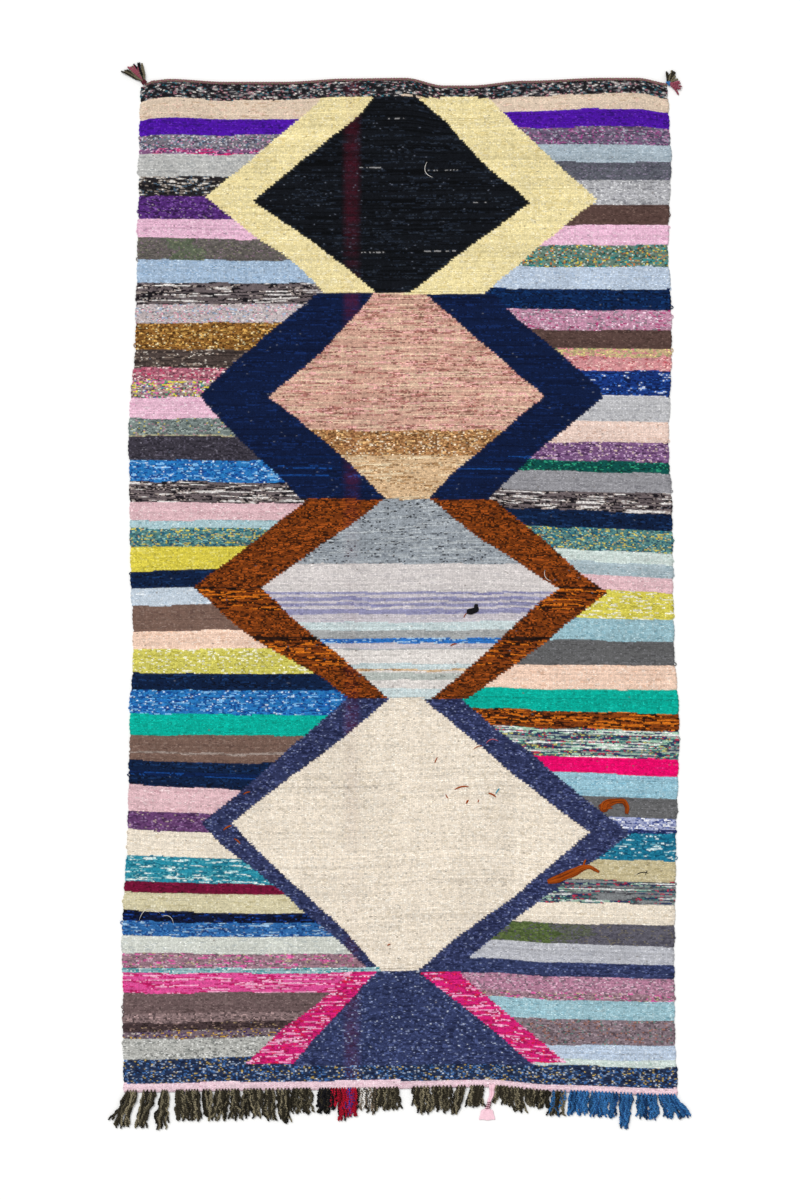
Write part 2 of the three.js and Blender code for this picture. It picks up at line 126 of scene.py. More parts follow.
# Yarns: kind, main colour, length of a fleck in beads, and fleck colours with their share in percent
YARNS = {
    "heading_tweed": ("wool", "#1a191d", 2, "#cfc9c4 7, #8f8b8c 12, #a5707a 6, #2c6a78 5, #48474d 16"),
    "sand": ("rag", "#e1ccb6", 3, "#c9ad92 6, #e8c8b6 8"),
    "violet": ("acrylic", "#4e12a6", 3, "#380f80 16, #6427ba 10"),
    "mauve_tweed": ("wool", "#7d7680", 2, "#4a4658 20, #aeb0bd 14, #c78aac 8, #5f7f95 8, #d8d0d4 5"),
    "pink_mauve_tweed": ("wool", "#8b5f88", 6, "#c62a72 16, #e58ab8 12, #45395a 18, #ddd3de 8"),
    "pale_grey": ("rag", "#bdbdbb", 3, "#a5a7a8 15, #d3d3d0 15"),
    "black_white_tweed": ("wool", "#262326", 4, "#d6d0c9 10, #877b72 14, #53677a 8, #0e0d10 24"),
    "violet_tweed": ("wool", "#552c78", 2, "#331c48 22, #7d52a2 14, #8f7f92 4"),
    "pink": ("rag", "#ebbcd4", 3, "#dba6c2 9, #f4d3e2 10, #a98ca0 1"),
    "taupe_grey": ("wool", "#68625f", 3, "#575450 20, #7d7a6a 10, #85717d 8"),
    "light_blue": ("acrylic", "#a6bdd6", 3, "#90acca 12, #bfd1e3 12"),
    "black_white_streak": ("wool", "#6c6163", 14, "#e2ddda 15, #a99c96 12, #17141a 32"),
    "grey_pink_fleck": ("wool", "#c3b6b7", 2, "#9fb1c9 10, #d59aa9 10, #e6e0de 12, #7e7a80 8"),
    "golden_boucle": ("boucle", "#92642f", 2, "#d0a257 18, #4f3014 26, #e8d5a4 5"),
    "brown_streak": ("wool", "#4e423e", 12, "#332a28 24, #857469 14, #c9bfb4 5"),
    "rose_tweed": ("wool", "#b0687a", 4, "#e2a4ac 14, #f0dcd8 6, #6a3e4a 18, #c2345e 8"),
    "warm_confetti": (
        "wool",
        "#b09690",
        3,
        "#e6d83f 12, #df6aa4 12, #4a9474 9, #f2ece4 10, #5f4145 15, #4a72ac 5",
    ),
    "candy_pink": ("rag", "#f0c2d7", 3, "#e2abc6 8, #f8dae7 10"),
    "grey_green_tweed": ("wool", "#7a8683", 2, "#a9b5ae 14, #4c5858 20, #c9b95a 3, #c08fa0 3"),
    "yellow_line": ("acrylic", "#b9b592", 4, "#94806e 24"),
    "slate": ("wool", "#3e3a44", 3, "#2a2730 20, #55505e 15, #74707c 3"),
    "blue_speckle": ("acrylic", "#2a7cc0", 3, "#7fbaea 13, #cfe0f0 3, #0c3f8a 22, #1c64b4 18"),
    "dusty_pink": ("rag", "#e5bec4", 3, "#d2a6ae 10, #f2d8da 8"),
    "aqua": ("acrylic", "#aecbd1", 3, "#92b8c2 10, #c9dde0 10"),
    "green_confetti": ("wool", "#568480", 2, "#d2c45a 13, #1f6f86 16, #20405e 15, #8fbcb4 10, #c4a878 4"),
    "yellow": ("acrylic", "#decf4c", 3, "#cabb3c 12, #ebe07a 10"),
    "navy": ("acrylic", "#0b1f40", 4, "#16335f 14, #050e22 16"),
    "pale_blue_white": ("rag", "#c9d5e1", 3, "#e3eaf0 12, #b2c2d1 10"),
    "taupe_brown": ("rag", "#7a6055", 3, "#6a5149 12, #8b7368 12"),
    "peach": ("rag", "#f6d4be", 3, "#e9c0a6 10, #fbe4d4 10"),
    "chartreuse": ("acrylic", "#d4cc62", 2, "#f3f0d0 14, #b5ab3c 14"),
    "turquoise": ("acrylic", "#00b09d", 3, "#009a88 10, #14c0ad 10"),
    "pale_line": ("rag", "#a3938b", 3, "#7d6c64 24"),
    "purple_tweed": ("wool", "#67406f", 2, "#45294f 22, #8f6d98 12, #b5a198 4"),
    "cream": ("rag", "#ebdfcd", 3, "#dccdb6 8, #f5eddf 8"),
    "teal_white": ("acrylic", "#2589a0", 6, "#dcebe8 9, #86c0c6 12, #126680 24, #3f9cac 14"),
    "burgundy": ("acrylic", "#700f32", 3, "#8b1b42 12, #4c0920 12"),
    "khaki_cream": ("rag", "#d4cba8", 3, "#bfb48c 10, #e6e0c6 8"),
    "navy_fleck": ("acrylic", "#0a1535", 4, "#1a4598 9, #0d2b70 13, #05060c 24"),
    "blue_light_speckle": ("acrylic", "#2c66a4", 4, "#9cc0e0 8, #8a9ab0 6, #123c7c 22, #4686c8 16"),
    "pale_grey_white": ("rag", "#d6d9d0", 3, "#bfc5c2 10, #e9ebe4 10"),
    "mauve_pink_tweed": ("wool", "#9a7884", 4, "#d45a9c 12, #c8a8b4 12, #6b5560 18, #b9aa80 4"),
    "hot_pink_streak": ("acrylic", "#dd5096", 12, "#f0a8c8 17, #bb185f 24"),
    "taupe": ("wool", "#6f5b5b", 3, "#5d4b4b 14, #84706e 12"),
    "taupe_rose_tweed": ("wool", "#887272", 2, "#b79a98 14, #4f4142 18"),
    "dark_brown_tweed": ("wool", "#47383a", 2, "#7c6560 12, #2a2020 18, #a08868 4"),
    "purple_gold": ("wool", "#74636c", 2, "#c79c40 10, #4a2f6c 14, #2f2834 10, #b8aca8 10"),
    "pale_grey_tweed": ("wool", "#b7b7b2", 2, "#8a8c88 15, #d9d9d5 14, #606062 3"),
    "galaxy": ("acrylic", "#22304e", 2, "#121b34 26, #3c66a0 14, #8799b4 8, #c4c8ce 3, #b39a54 5"),
    "end_pink": ("rag", "#efd0da", 3, "#dcb4c2 8, #f8e4ea 8"),
    "blue_grey": ("rag", "#b0bfca", 3, "#98a9b6 12, #c5d2da 10"),
    "slate_blue": ("wool", "#60626c", 3, "#4d4e5a 16, #7a7486 12"),
    "light_grey_speckle": ("wool", "#b5b5b9", 2, "#8e8e94 14, #dcdcde 12"),
    "dark_brown": ("rag", "#5a443f", 3, "#493632 14, #6d564f 12"),
    "teal_confetti": ("wool", "#6c8678", 2, "#2f8f8f 14, #d6c24e 8, #c9743a 7, #2c4a44 14, #cfe0d6 6"),
    "pale_blue": ("acrylic", "#bdccdf", 3, "#a8bbd3 10, #d3deea 10"),
    "magenta_tweed": ("wool", "#c690aa", 2, "#b03070 9, #8a7f8a 14, #f0d4e2 10"),
    "yellow_rose": ("wool", "#c9ae85", 3, "#d98a92 16, #8aa06a 12, #e8d78a 14"),
    "coral_tweed": ("wool", "#d29194", 2, "#b5525a 9, #f0c4bc 12"),
    "royal_navy": ("acrylic", "#15347a", 4, "#cdd8ea 4, #2a5ab0 16, #091a48 26"),
    "light_grey": ("rag", "#bebec1", 3, "#a9a9ae 12, #d2d2d4 12"),
    "pale_peach": ("rag", "#ecd1c4", 3, "#dfbcab 10, #f6e2d8 10"),
    "dark_green": ("acrylic", "#09544e", 2, "#2fa07a 10, #05332f 18"),
    "grey": ("rag", "#99989d", 3, "#85848a 12, #adacb1 12"),
    "mint_white": ("rag", "#d0ddd8", 3, "#b9ccc5 10, #e4ece8 10"),
    "grey_aqua": ("rag", "#acbdc4", 3, "#96abb4 12, #c3d0d5 10"),
    "light_aqua": ("acrylic", "#9cc1cc", 3, "#82adbb 12, #b6d3da 10"),
    "dark_grey": ("rag", "#656566", 3, "#545455 12, #77777a 12"),
    "rust_streak": ("wool", "#733611", 4, "#a5501a 18, #331709 28, #8c4412 14"),
    "multi_stripe": (
        "wool",
        "#95a09b",
        40,
        "#e6e9e4 14, #a3c8b0 14, #26345c 20, #b8324e 8, #3f7a78 12, #c4bc66 5, #4c4a52 12",
    ),
    "hot_magenta": ("acrylic", "#f1026b", 3, "#d9025f 10, #f72682 8"),
    "sky_blue": ("acrylic", "#99c4d4", 3, "#80b0c4 12, #b3d5e1 10"),
    "lavender_navy": ("acrylic", "#a2a9ca", 4, "#e8eaf2 16, #5a68a4 16, #2b3a78 13"),
    "khaki": ("rag", "#c9bc95", 3, "#b3a57c 12, #d9cfb0 10"),
    "grey_plum": ("wool", "#5f5d68", 3, "#4c4a56 16, #706a5e 10"),
    "pale_grey_blue": ("rag", "#bcbdc4", 3, "#a6a8b1 12, #cfd0d5 10"),
    "indigo": ("acrylic", "#343d64", 3, "#222a4c 22, #4f5a88 16, #7f89ab 3"),
    "pink_grey_tweed": ("wool", "#b27d96", 2, "#d8a9bf 14, #7c6473 18, #c9b4be 6"),
    "mauve_brown_tweed": ("wool", "#84737b", 2, "#a4929a 12, #5f7f78 6, #9a6a5c 8, #5a4c54 16"),
    "pale_yellow": ("rag", "#f0e0a8", 4, "#e3cf90 10, #f7ecc4 12"),
    "black": ("wool", "#11141a", 50, "#080a0e 26, #1d2430 10, #2a313c 4"),
    "navy_border": ("acrylic", "#0a1a3e", 40, "#061230 18, #11285a 12"),
    "royal_streak": ("acrylic", "#0a2250", 30, "#14448a 22, #071838 30"),
    "rose_tan": ("wool", "#d0a491", 34, "#e3c3a8 16, #eab0aa 12, #b5786e 13, #84594c 8"),
    "tan_straw": ("wool", "#dcba92", 26, "#ecd6b2 18, #b88f62 14, #8e6844 5"),
    "grey_blue_streak": ("wool", "#9ba2a9", 18, "#b6bcc0 16, #868d95 16, #202227 5"),
    "lavender_grey": ("rag", "#d9d2d0", 8, "#cac4c4 14, #e5dfdc 12"),
    "lavender": ("rag", "#9796b8", 20, "#8281ac 16, #adabc6 12"),
    "pink_white": ("rag", "#cbc4ca", 14, "#b9b4c0 14, #dcd5d8 12"),
    "pale_aqua_white": ("rag", "#ccdadb", 5, "#b9cbce 12, #dde6e6 12"),
    "mid_grey": ("rag", "#a9abab", 5, "#989b9c 14, #bbbcbb 10"),
    "bright_blue": ("acrylic", "#2f78c8", 4, "#a9cbe8 22, #1a5aa8 18"),
    "off_white": ("rag", "#e3ddd8", 5, "#d3ccc8 12, #efeae6 12"),
    "sage_grey": ("rag", "#b8beb8", 5, "#a5aca6 14, #cacec9 12"),
    "denim": ("acrylic", "#30375c", 3, "#1d2344 24, #4d5684 18, #7f88aa 4"),
    "natural_cream": ("rag", "#efe2d0", 2, "#e0d2bd 14, #f7eee0 14, #cdc4b6 4"),
    "hot_pink_border": ("acrylic", "#d61f76", 8, "#f0a0c6 16, #f3c8dc 3, #a50f54 20, #dc2044 8"),
    "foot_indigo": ("acrylic", "#313a60", 3, "#1f2646 24, #4c5886 16, #8691b2 4, #b4bccc 0.7"),
    "tan_boucle": ("boucle", "#ab7a4e", 2, "#dcb078 18, #6a4426 20, #f0dcc0 8"),
    "plum_tweed": ("wool", "#7d5884", 3, "#4a2c54 16, #c2a0c4 16, #d8c0b4 6"),
    "yellow_white": ("acrylic", "#e0d558", 4, "#f4f0d4 18, #c9bb3e 12"),
    "rust_band": ("wool", "#8a4214", 9, "#d4721c 19, #20100a 29, #5c280e 14"),
    "olive_green": ("wool", "#55663a", 3, "#46552f 18, #6a7848 14, #5a5862 12"),
    "mauve_plum_tweed": ("wool", "#71607a", 3, "#4a4058 22, #ae7aa2 12, #a04488 6, #a5a8b6 8"),
    "taupe_green": ("wool", "#626a58", 3, "#56604c 20, #7d8268 10, #6e6468 14"),
    "deep_teal_white": ("acrylic", "#16708e", 4, "#d8e8ea 8, #86bac6 8, #0c4f6e 24, #2a87a4 14"),
    "navy_lavender": ("acrylic", "#27346a", 5, "#9aa4c6 12, #54619a 18, #101c46 26"),
    "dark_multi_stripe": (
        "wool",
        "#7f8284",
        40,
        "#dcdedb 12, #9ab8a6 11, #232f56 24, #ac304a 9, #3a6a6c 12, #48464c 15",
    ),
    "dark_streak": ("wool", "#2b1710", 16, "#6b3312 20, #130a08 30"),
    "olive_plum": ("wool", "#5a5f50", 3, "#4c5240 18, #5f5d68 30"),
    "bright_navy": ("acrylic", "#08244f", 4, "#123a70 14, #041026 16"),
    "aqua_teal": ("acrylic", "#93b8be", 3, "#2f8f98 18, #d8e6e4 14"),
    "olive_brown": ("wool", "#3a352a", 1, ""),
    "olive_light": ("wool", "#857c64", 1, ""),
    "black_yarn": ("wool", "#17161a", 1, ""),
    "red_yarn": ("acrylic", "#b3152f", 1, ""),
    "cobalt_yarn": ("acrylic", "#2b3f9c", 1, ""),
    "white_yarn": ("acrylic", "#e6e2dc", 1, ""),
    "tan_yarn": ("wool", "#8a7a68", 1, ""),
    "fringe_blue": ("acrylic", "#3a76b2", 1, ""),
    "fringe_deep_blue": ("acrylic", "#1f4a80", 1, ""),
    "dusty_rose": ("wool", "#a85668", 1, ""),
    "wine": ("wool", "#5c2a33", 1, ""),
    "faded_wine": ("wool", "#8c5f66", 1, ""),
    "rust": ("wool", "#96430c", 1, ""),
    "deep_rust": ("wool", "#6c2d0a", 1, ""),
    "teal_thread": ("acrylic", "#2a8ea6", 1, ""),
    "pink_rag": ("rag", "#efc6d2", 1, ""),
}
RED_WARP = "#7c1c38"
RED_STRIPE = (-134, 24)  # middle and half width of the red warps that show through
PALE_THREAD = "#a9a8a8"
DARK_SPECK = "#6b6258"  # stray fibres on light yarns
PALE_SPECK = "#7c8496"  # stray fibres on dark yarns

# Weft bands from the top end down: yarn and height
LEFT_BANDS = (
    ("heading_tweed", 43),
    ("sand", 54),
    ("violet", 45),
    ("mauve_tweed", 38),
    ("pink_mauve_tweed", 16),
    ("pale_grey", 60),
    ("black_white_tweed", 56),
    ("violet_tweed", 62),
    ("pink", 52),
    ("taupe_grey", 60),
    ("light_blue", 63),
    ("black_white_streak", 59),
    ("grey_pink_fleck", 51),
    ("golden_boucle", 74),
    ("brown_streak", 50),
    ("rose_tweed", 34),
    ("warm_confetti", 48),
    ("candy_pink", 58),
    ("grey_green_tweed", 45),
    ("yellow_line", 3),
    ("slate", 65),
    ("blue_speckle", 58),
    ("black_white_streak", 58),
    ("dusty_pink", 49),
    ("aqua", 22),
    ("green_confetti", 51),
    ("yellow", 65),
    ("navy", 47),
    ("pale_blue_white", 50),
    ("taupe_brown", 71),
    ("peach", 50),
    ("chartreuse", 66),
    ("navy", 46),
    ("blue_speckle", 65),
    ("turquoise", 58),
    ("taupe_brown", 45),
    ("pale_line", 6),
    ("taupe_brown", 20),
    ("navy", 27),
    ("royal_streak", 14),
    ("navy", 28),
    ("dusty_pink", 71),
    ("purple_tweed", 52),
    ("cream", 69),
    ("teal_white", 71),
    ("burgundy", 30),
    ("khaki_cream", 50),
    ("navy_fleck", 29),
    ("blue_light_speckle", 40),
    ("pale_grey_white", 47),
    ("mauve_pink_tweed", 40),
    ("aqua_teal", 14),
    ("hot_pink_streak", 55),
    ("taupe", 56),
    ("taupe_rose_tweed", 25),
    ("dark_brown_tweed", 22),
    ("purple_gold", 21),
    ("pale_grey_tweed", 55),
    ("galaxy", 68),
    ("end_pink", 25),
)
RIGHT_BANDS = (
    ("heading_tweed", 35),
    ("sand", 41),
    ("violet", 47),
    ("mauve_plum_tweed", 47),
    ("blue_grey", 48),
    ("slate_blue", 50),
    ("light_grey_speckle", 66),
    ("dark_brown", 56),
    ("pink", 56),
    ("teal_confetti", 58),
    ("pale_blue", 62),
    ("bright_navy", 58),
    ("magenta_tweed", 55),
    ("dark_brown", 52),
    ("yellow_rose", 22),
    ("coral_tweed", 36),
    ("royal_navy", 69),
    ("light_grey", 69),
    ("pale_peach", 60),
    ("plum_tweed", 52),
    ("dark_green", 30),
    ("grey", 55),
    ("black_white_streak", 55),
    ("navy", 47),
    ("green_confetti", 63),
    ("mint_white", 28),
    ("grey_aqua", 36),
    ("dusty_pink", 40),
    ("yellow_white", 78),
    ("light_aqua", 60),
    ("dark_grey", 66),
    ("peach", 67),
    ("turquoise", 62),
    ("rust_band", 48),
    ("multi_stripe", 78),
    ("hot_magenta", 44),
    ("sky_blue", 63),
    ("dark_grey", 55),
    ("lavender_navy", 30),
    ("navy_lavender", 12),
    ("deep_teal_white", 74),
    ("khaki", 59),
    ("dark_multi_stripe", 61),
    ("cream", 56),
    ("grey_plum", 58),
    ("pale_grey_blue", 50),
    ("indigo", 41),
    ("pink_grey_tweed", 44),
    ("mauve_pink_tweed", 19),
    ("light_aqua", 52),
    ("mauve_brown_tweed", 69),
    ("pale_blue", 40),
    ("mint_white", 18),
    ("galaxy", 55),
    ("end_pink", 22),
)

# Diamonds down the middle: border and filling as yarns with heights from the top corner down,
# and edges that run straight through their (down, across) points
MOTIFS = (
    dict(
        border=(("pale_yellow", 540),),
        fill=(("black", 540),),
        outer_left=(
            (41, -216), (106, -283), (313, -535), (424, -400),
            (469, -326), (515, -268), (580, -208),
        ),
        outer_right=(
            (41, 240), (106, 306), (242, 451), (322, 540),
            (379, 466), (515, 306), (580, 232),
        ),
        inner_left=(
            (36, -76), (56, -86), (102, -126), (193, -247),
            (325, -404), (420, -269), (511, -145), (577, -66),
        ),
        inner_right=(
            (36, 40), (102, 122), (193, 198), (238, 245),
            (284, 305), (331, 357), (420, 232), (577, 28),
        ),
    ),
    dict(
        border=(
            ("navy_border", 446),
            ("royal_streak", 7),
            ("navy_border", 22),
            ("royal_streak", 9),
            ("navy_border", 14),
            ("royal_streak", 6),
            ("navy_border", 60),
        ),
        fill=(("rose_tan", 375), ("tan_boucle", 68), ("tan_straw", 125)),
        outer_left=(
            (580, -228), (648, -314), (743, -428), (858, -552),
            (886, -534), (981, -444), (1076, -340), (1144, -275),
        ),
        outer_right=(
            (580, 255), (648, 321), (743, 435), (840, 546),
            (866, 556), (933, 475), (1029, 358), (1144, 242),
        ),
        inner_left=(
            (580, -72), (648, -130), (743, -219), (865, -364),
            (933, -271), (1029, -158), (1144, -36),
        ),
        inner_right=(
            (580, 68), (863, 395), (933, 308), (981, 255),
            (1029, 196), (1076, 136), (1144, 78),
        ),
    ),
    dict(
        border=(
            ("rust_streak", 241),
            ("dark_streak", 6),
            ("rust_band", 60),
            ("rust_streak", 70),
            ("dark_streak", 10),
            ("rust_band", 70),
            ("rust_streak", 91),
        ),
        fill=(
            ("grey_blue_streak", 178),
            ("lavender_grey", 76),
            ("lavender", 7),
            ("pink_white", 8),
            ("lavender", 10),
            ("pink_white", 6),
            ("lavender", 9),
            ("pink_white", 7),
            ("lavender", 14),
            ("pink_white", 22),
            ("pale_aqua_white", 24),
            ("mid_grey", 21),
            ("bright_blue", 14),
            ("pink_white", 14),
            ("mid_grey", 4),
            ("off_white", 38),
            ("pale_aqua_white", 16),
            ("tan_straw", 5),
            ("off_white", 5),
            ("sage_grey", 19),
            ("off_white", 22),
            ("pale_aqua_white", 24),
        ),
        outer_left=(
            (1144, -252), (1210, -338), (1386, -570), (1487, -456),
            (1533, -398), (1625, -233), (1691, -140),
        ),
        outer_right=(
            (1144, 254), (1257, 394), (1349, 496), (1400, 570),
            (1489, 457), (1535, 400), (1694, 182),
        ),
        inner_left=(
            (1144, -46), (1210, -128), (1257, -196), (1388, -382),
            (1488, -277), (1580, -161), (1693, -32),
        ),
        inner_right=(
            (1144, 82), (1211, 164), (1257, 223), (1304, 301),
            (1390, 434), (1444, 364), (1584, 213), (1697, 78),
        ),
    ),
    dict(
        border=(("denim", 745),),
        fill=(("natural_cream", 745),),
        outer_left=(
            (1691, -146), (1838, -314), (1966, -460), (2035, -548),
            (2093, -490), (2220, -330), (2431, -92),
        ),
        outer_right=(
            (1694, 170), (1777, 264), (1840, 357), (1966, 503),
            (2065, 634), (2217, 424), (2280, 337), (2426, 160),
        ),
        inner_left=(
            (1691, -28), (1840, -205), (1904, -297), (2035, -464),
            (2162, -338), (2291, -192), (2440, -54),
        ),
        inner_right=(
            (1695, 66), (1844, 243), (1972, 400), (2060, 520),
            (2229, 321), (2293, 231), (2358, 140), (2442, 46),
        ),
    ),
    dict(
        border=(("hot_pink_border", 260),),
        fill=(("foot_indigo", 260),),
        outer_left=((2445, -133), (2541, -242), (2598, -322), (2694, -425)),
        outer_right=((2450, 165), (2575, 312), (2699, 466)),
        inner_left=((2440, -65), (2570, -185), (2700, -300)),
        inner_right=((2440, 46), (2570, 212), (2700, 368)),
    ),
)

# Patches where a band changes yarn part of the way across: old and new yarn, from where to where
PATCHES = (
    ("grey_plum", "olive_plum", 230, 515),
    ("olive_plum", "olive_green", 230, 425),
    ("taupe_grey", "taupe_green", -640, -548),
)

# Picks with pale threads caught in them: place down, and from where to where across
DOTTED_PICKS = (
    (101, -53, 15),
    (233, -117, -43),
    (243, 78, 167),
    (331, 194, 240),
    (462, 62, 158),
    (465, -117, -32),
)

# Rows where the cloth is parted into pieces, at the pinches between the diamonds
SECTION_CUTS = (0, 580, 1144, 1692, 2438, 2772)

# Weave
SEAM_STRAY = 2.2  # how far a seam between bands strays
PATCH_STRAY = 35.0  # how far the end of a patch strays
EDGE_STRAY = 3.0  # how far a diamond's edge strays
BEAD_STRAY = 0.27  # how far a bead's corners stray, as a share of the bead
DIAMOND_HALF = 150.0  # within this of the centre line the diamonds interrupt the bands
BANDS_FULL_FROM = 420.0  # beyond this the bands have their whole crown
RIM_HEIGHTS = (0.6, 0.9, 1.0)  # share of the thickness at the rim, one bead in, and further in
SOFTNESS = 0.2  # how far a bead's corners take on the colour of the beads round them
BACK_STEP = 16  # warps that one cell of the cloth's back takes in
BAKE_ROWS = {  # heights in the picture map of the face, the back, the two selvedges and the two ends
    "face": (0.245, 0.995),
    "back": (0.005, 0.185),
    "left": (0.195, 0.201),
    "right": (0.206, 0.212),
    "top": (0.218, 0.224),
    "lower": (0.230, 0.236),
}

# Fringe clumps: root and tip across, spans there, reach past the cloth, locks, and yarns
BROWN = "olive_brown olive_brown olive_light"
BLUE = "fringe_blue fringe_blue fringe_deep_blue"
FRINGES = {
    "fringe_brown_left": (
        (-738, 30, -766, 38, 100, 4, BROWN),
        (-690, 41, -712, 20, 99, 4, BROWN),
        (-648, 18, -657, 28, 104, 3, BROWN),
        (-606, 22, -601, 36, 80, 4, BROWN),
        (-573, 38, -565, 30, 82, 5, BROWN),
        (-533, 24, -530, 22, 70, 3, BROWN),
        (-476, 68, -474, 78, 82, 8, BROWN),
        (-407, 52, -402, 54, 76, 6, BROWN),
        (-360, 28, -360, 24, 84, 3, BROWN),
        (-322, 40, -320, 28, 92, 4, BROWN),
        (-289, 18, -289, 16, 64, 2, BROWN),
        (-262, 32, -262, 32, 68, 4, BROWN),
    ),
    "fringe_mixed": (
        (-210, 30, -210, 24, 66, 4, "black_yarn black_yarn olive_brown"),
        (-183, 22, -184, 22, 54, 3, "black_yarn red_yarn black_yarn"),
        (-160, 20, -161, 20, 86, 3, "red_yarn red_yarn black_yarn"),
        (-134, 26, -135, 26, 74, 4, "red_yarn cobalt_yarn red_yarn"),
        (-106, 26, -105, 26, 58, 3, "white_yarn black_yarn tan_yarn"),
        (-79, 24, -78, 24, 70, 3, "tan_yarn white_yarn olive_brown"),
    ),
    "fringe_brown_middle": (
        (-33, 56, -34, 60, 60, 6, BROWN),
        (56, 48, 62, 46, 72, 5, BROWN),
        (98, 24, 98, 22, 66, 3, BROWN),
        (128, 30, 123, 22, 72, 3, BROWN),
        (168, 25, 149, 22, 74, 3, BROWN),
        (210, 38, 205, 44, 54, 5, BROWN),
    ),
    "fringe_brown_right": (
        (280, 36, 281, 36, 46, 4, BROWN),
        (320, 38, 320, 36, 62, 4, BROWN),
        (375, 66, 375, 64, 46, 7, BROWN),
        (436, 42, 432, 40, 66, 4, "olive_brown fringe_blue olive_light"),
    ),
    "fringe_blue": (
        (491, 54, 484, 50, 64, 6, BLUE),
        (560, 76, 557, 76, 66, 8, BLUE),
        (620, 38, 617, 24, 94, 4, BLUE),
        (676, 56, 682, 58, 66, 6, BLUE),
        (732, 48, 760, 60, 62, 6, BLUE),
    ),
}
FRINGE_SLOTS = {
    "fringe_brown_left": "olive_brown_yarn",
    "fringe_mixed": "mixed_yarn",
    "fringe_brown_middle": "olive_brown_yarn",
    "fringe_brown_right": "olive_brown_yarn",
    "fringe_blue": "blue_yarn",
}

# Corner tassels: side, the knot's place from the cloth's corner, its yarn, and locks by angle in
# degrees, length and yarn
TASSELS = {
    "tassel_left": (
        "left",
        (14, 8),
        "wine",
        (
            (146, 78, "olive_brown"),
            (140, 68, "olive_light"),
            (128, 70, "dusty_rose"),
            (121, 64, "dusty_rose"),
            (111, 66, "black_yarn"),
            (105, 60, "olive_light"),
        ),
    ),
    "tassel_right": (
        "right",
        (-2, 3),
        "fringe_blue",
        (
            (82, 38, "olive_brown"),
            (68, 42, "olive_light"),
            (54, 42, "olive_brown"),
            (44, 38, "olive_light"),
            (6, 40, "dusty_rose"),
            (-18, 44, "dusty_rose"),
        ),
    ),
}

# Pink rag tail: stations down from the lower end
RAG_TAIL = table(
    "down across width fold",
    (-8, 252, 17, 2.0),
    (18, 252, 13, 2.6),
    (42, 244, 9, 3.2),
    (58, 240, 11, 3.0),
    (66, 238, 34, 1.2),
    (90, 238, 44, 0.6),
)

# Loose rag ends on the face: yarns, then stations with their places across and down, width and height
RAG_ENDS = {
    "rag_end_hook": (
        "rust rust deep_rust",
        (548, 1978, 13, 2.5),
        (560, 1992, 19, 3.5),
        (566, 1976, 17, 4),
        (592, 1968, 11, 4),
        (614, 1966, 12, 4),
        (623, 1984, 10, 3.5),
        (621, 2002, 7, 2.5),
    ),
    "rag_end_bar": (
        "rust rust deep_rust",
        (404, 2194, 9, 2.5),
        (432, 2186, 20, 3.5),
        (470, 2170, 19, 4),
        (500, 2154, 14, 4),
        (520, 2150, 9, 3.5),
        (546, 2164, 6, 2.5),
    ),
    "dark_tuft": (
        "black_yarn",
        (182, 1459, 9, 3),
        (196, 1460, 15, 4.5),
        (207, 1453, 13, 4.5),
        (208, 1438, 6, 3),
    ),
}
RAG_END_SLOTS = {"rag_end_hook": "rust_rag", "rag_end_bar": "rust_rag", "dark_tuft": "black_rag"}

# Loose threads on the face: middle across and down, length, angle in degrees, bow as a share of the
# length, thickness and yarn
THREADS = (
    (81, 240, 46, 110, 0.30, 1.6, "white_yarn"),
    (406, 1353, 36, 120, 0.25, 1.4, "white_yarn"),
    (98, 1868, 18, 65, 0.05, 3.4, "rust"),
    (168, 1946, 40, 12, 0.10, 4.4, "rust"),
    (128, 1968, 14, 120, 0.10, 3.2, "rust"),
    (184, 1984, 12, 60, 0.10, 5.4, "rust"),
    (214, 1982, 8, 80, 0.05, 3.4, "rust"),
    (252, 1966, 24, -28, 0.10, 5.0, "rust"),
    (267, 1954, 18, 55, 0.05, 4.0, "teal_thread"),
    (212, 1834, 26, 24, 0.08, 2.6, "rust"),
    (252, 1820, 34, 10, 0.25, 3.2, "dusty_rose"),
    (178, 1470, 16, 60, 0.10, 2.8, "rust"),
    (146, 1551, 20, 18, 0.12, 4.0, "rust"),
    (-690, 2290, 60, 20, 0.35, 1.4, "white_yarn"),
    (-640, 2300, 40, -35, 0.30, 1.2, "white_yarn"),
    (-748, 2318, 30, 170, 0.20, 2.0, "fringe_blue"),
    (-742, 2332, 26, 200, 0.20, 2.0, "fringe_blue"),
    (556, 1982, 26, 78, 0.10, 8.0, "rust"),
    (566, 1992, 34, 12, 0.10, 7.0, "rust"),
    (576, 1972, 40, 4, 0.05, 7.0, "deep_rust"),
    (506, 2140, 20, 70, 0.05, 6.0, "rust"),
    (528, 2156, 26, -20, 0.05, 7.0, "deep_rust"),
    (-475, 2048, 26, 30, 0.10, 5.0, "rust"),
    (-449, 2085, 22, -40, 0.10, 4.6, "rust"),
    (-422, 1953, 20, 20, 0.10, 4.0, "rust"),
    (-32, 2374, 10, 30, 0.05, 4.0, "rust"),
    (664, 2166, 34, 8, 0.15, 2.4, "black_yarn"),
    (676, 2162, 14, 70, 0.10, 2.4, "black_yarn"),
)

# Photograph's framing
PHOTO_SIZE = (800, 1200)
MM_PER_PIXEL = 2.75
PHOTO_TOP_END = 83  # row of the photograph where the cloth's top end lies
PHOTO_CENTRE_LINE = 400.5  # column where its centre line lies


# Numbers and placing


def linear(colour):
    """Linear light of an sRGB hex colour."""
    share = np.array([int(colour[k : k + 2], 16) for k in (1, 3, 5)]) / 255
    return np.where(share <= 0.04045, share / 12.92, ((share + 0.055) / 1.055) ** 2.4)


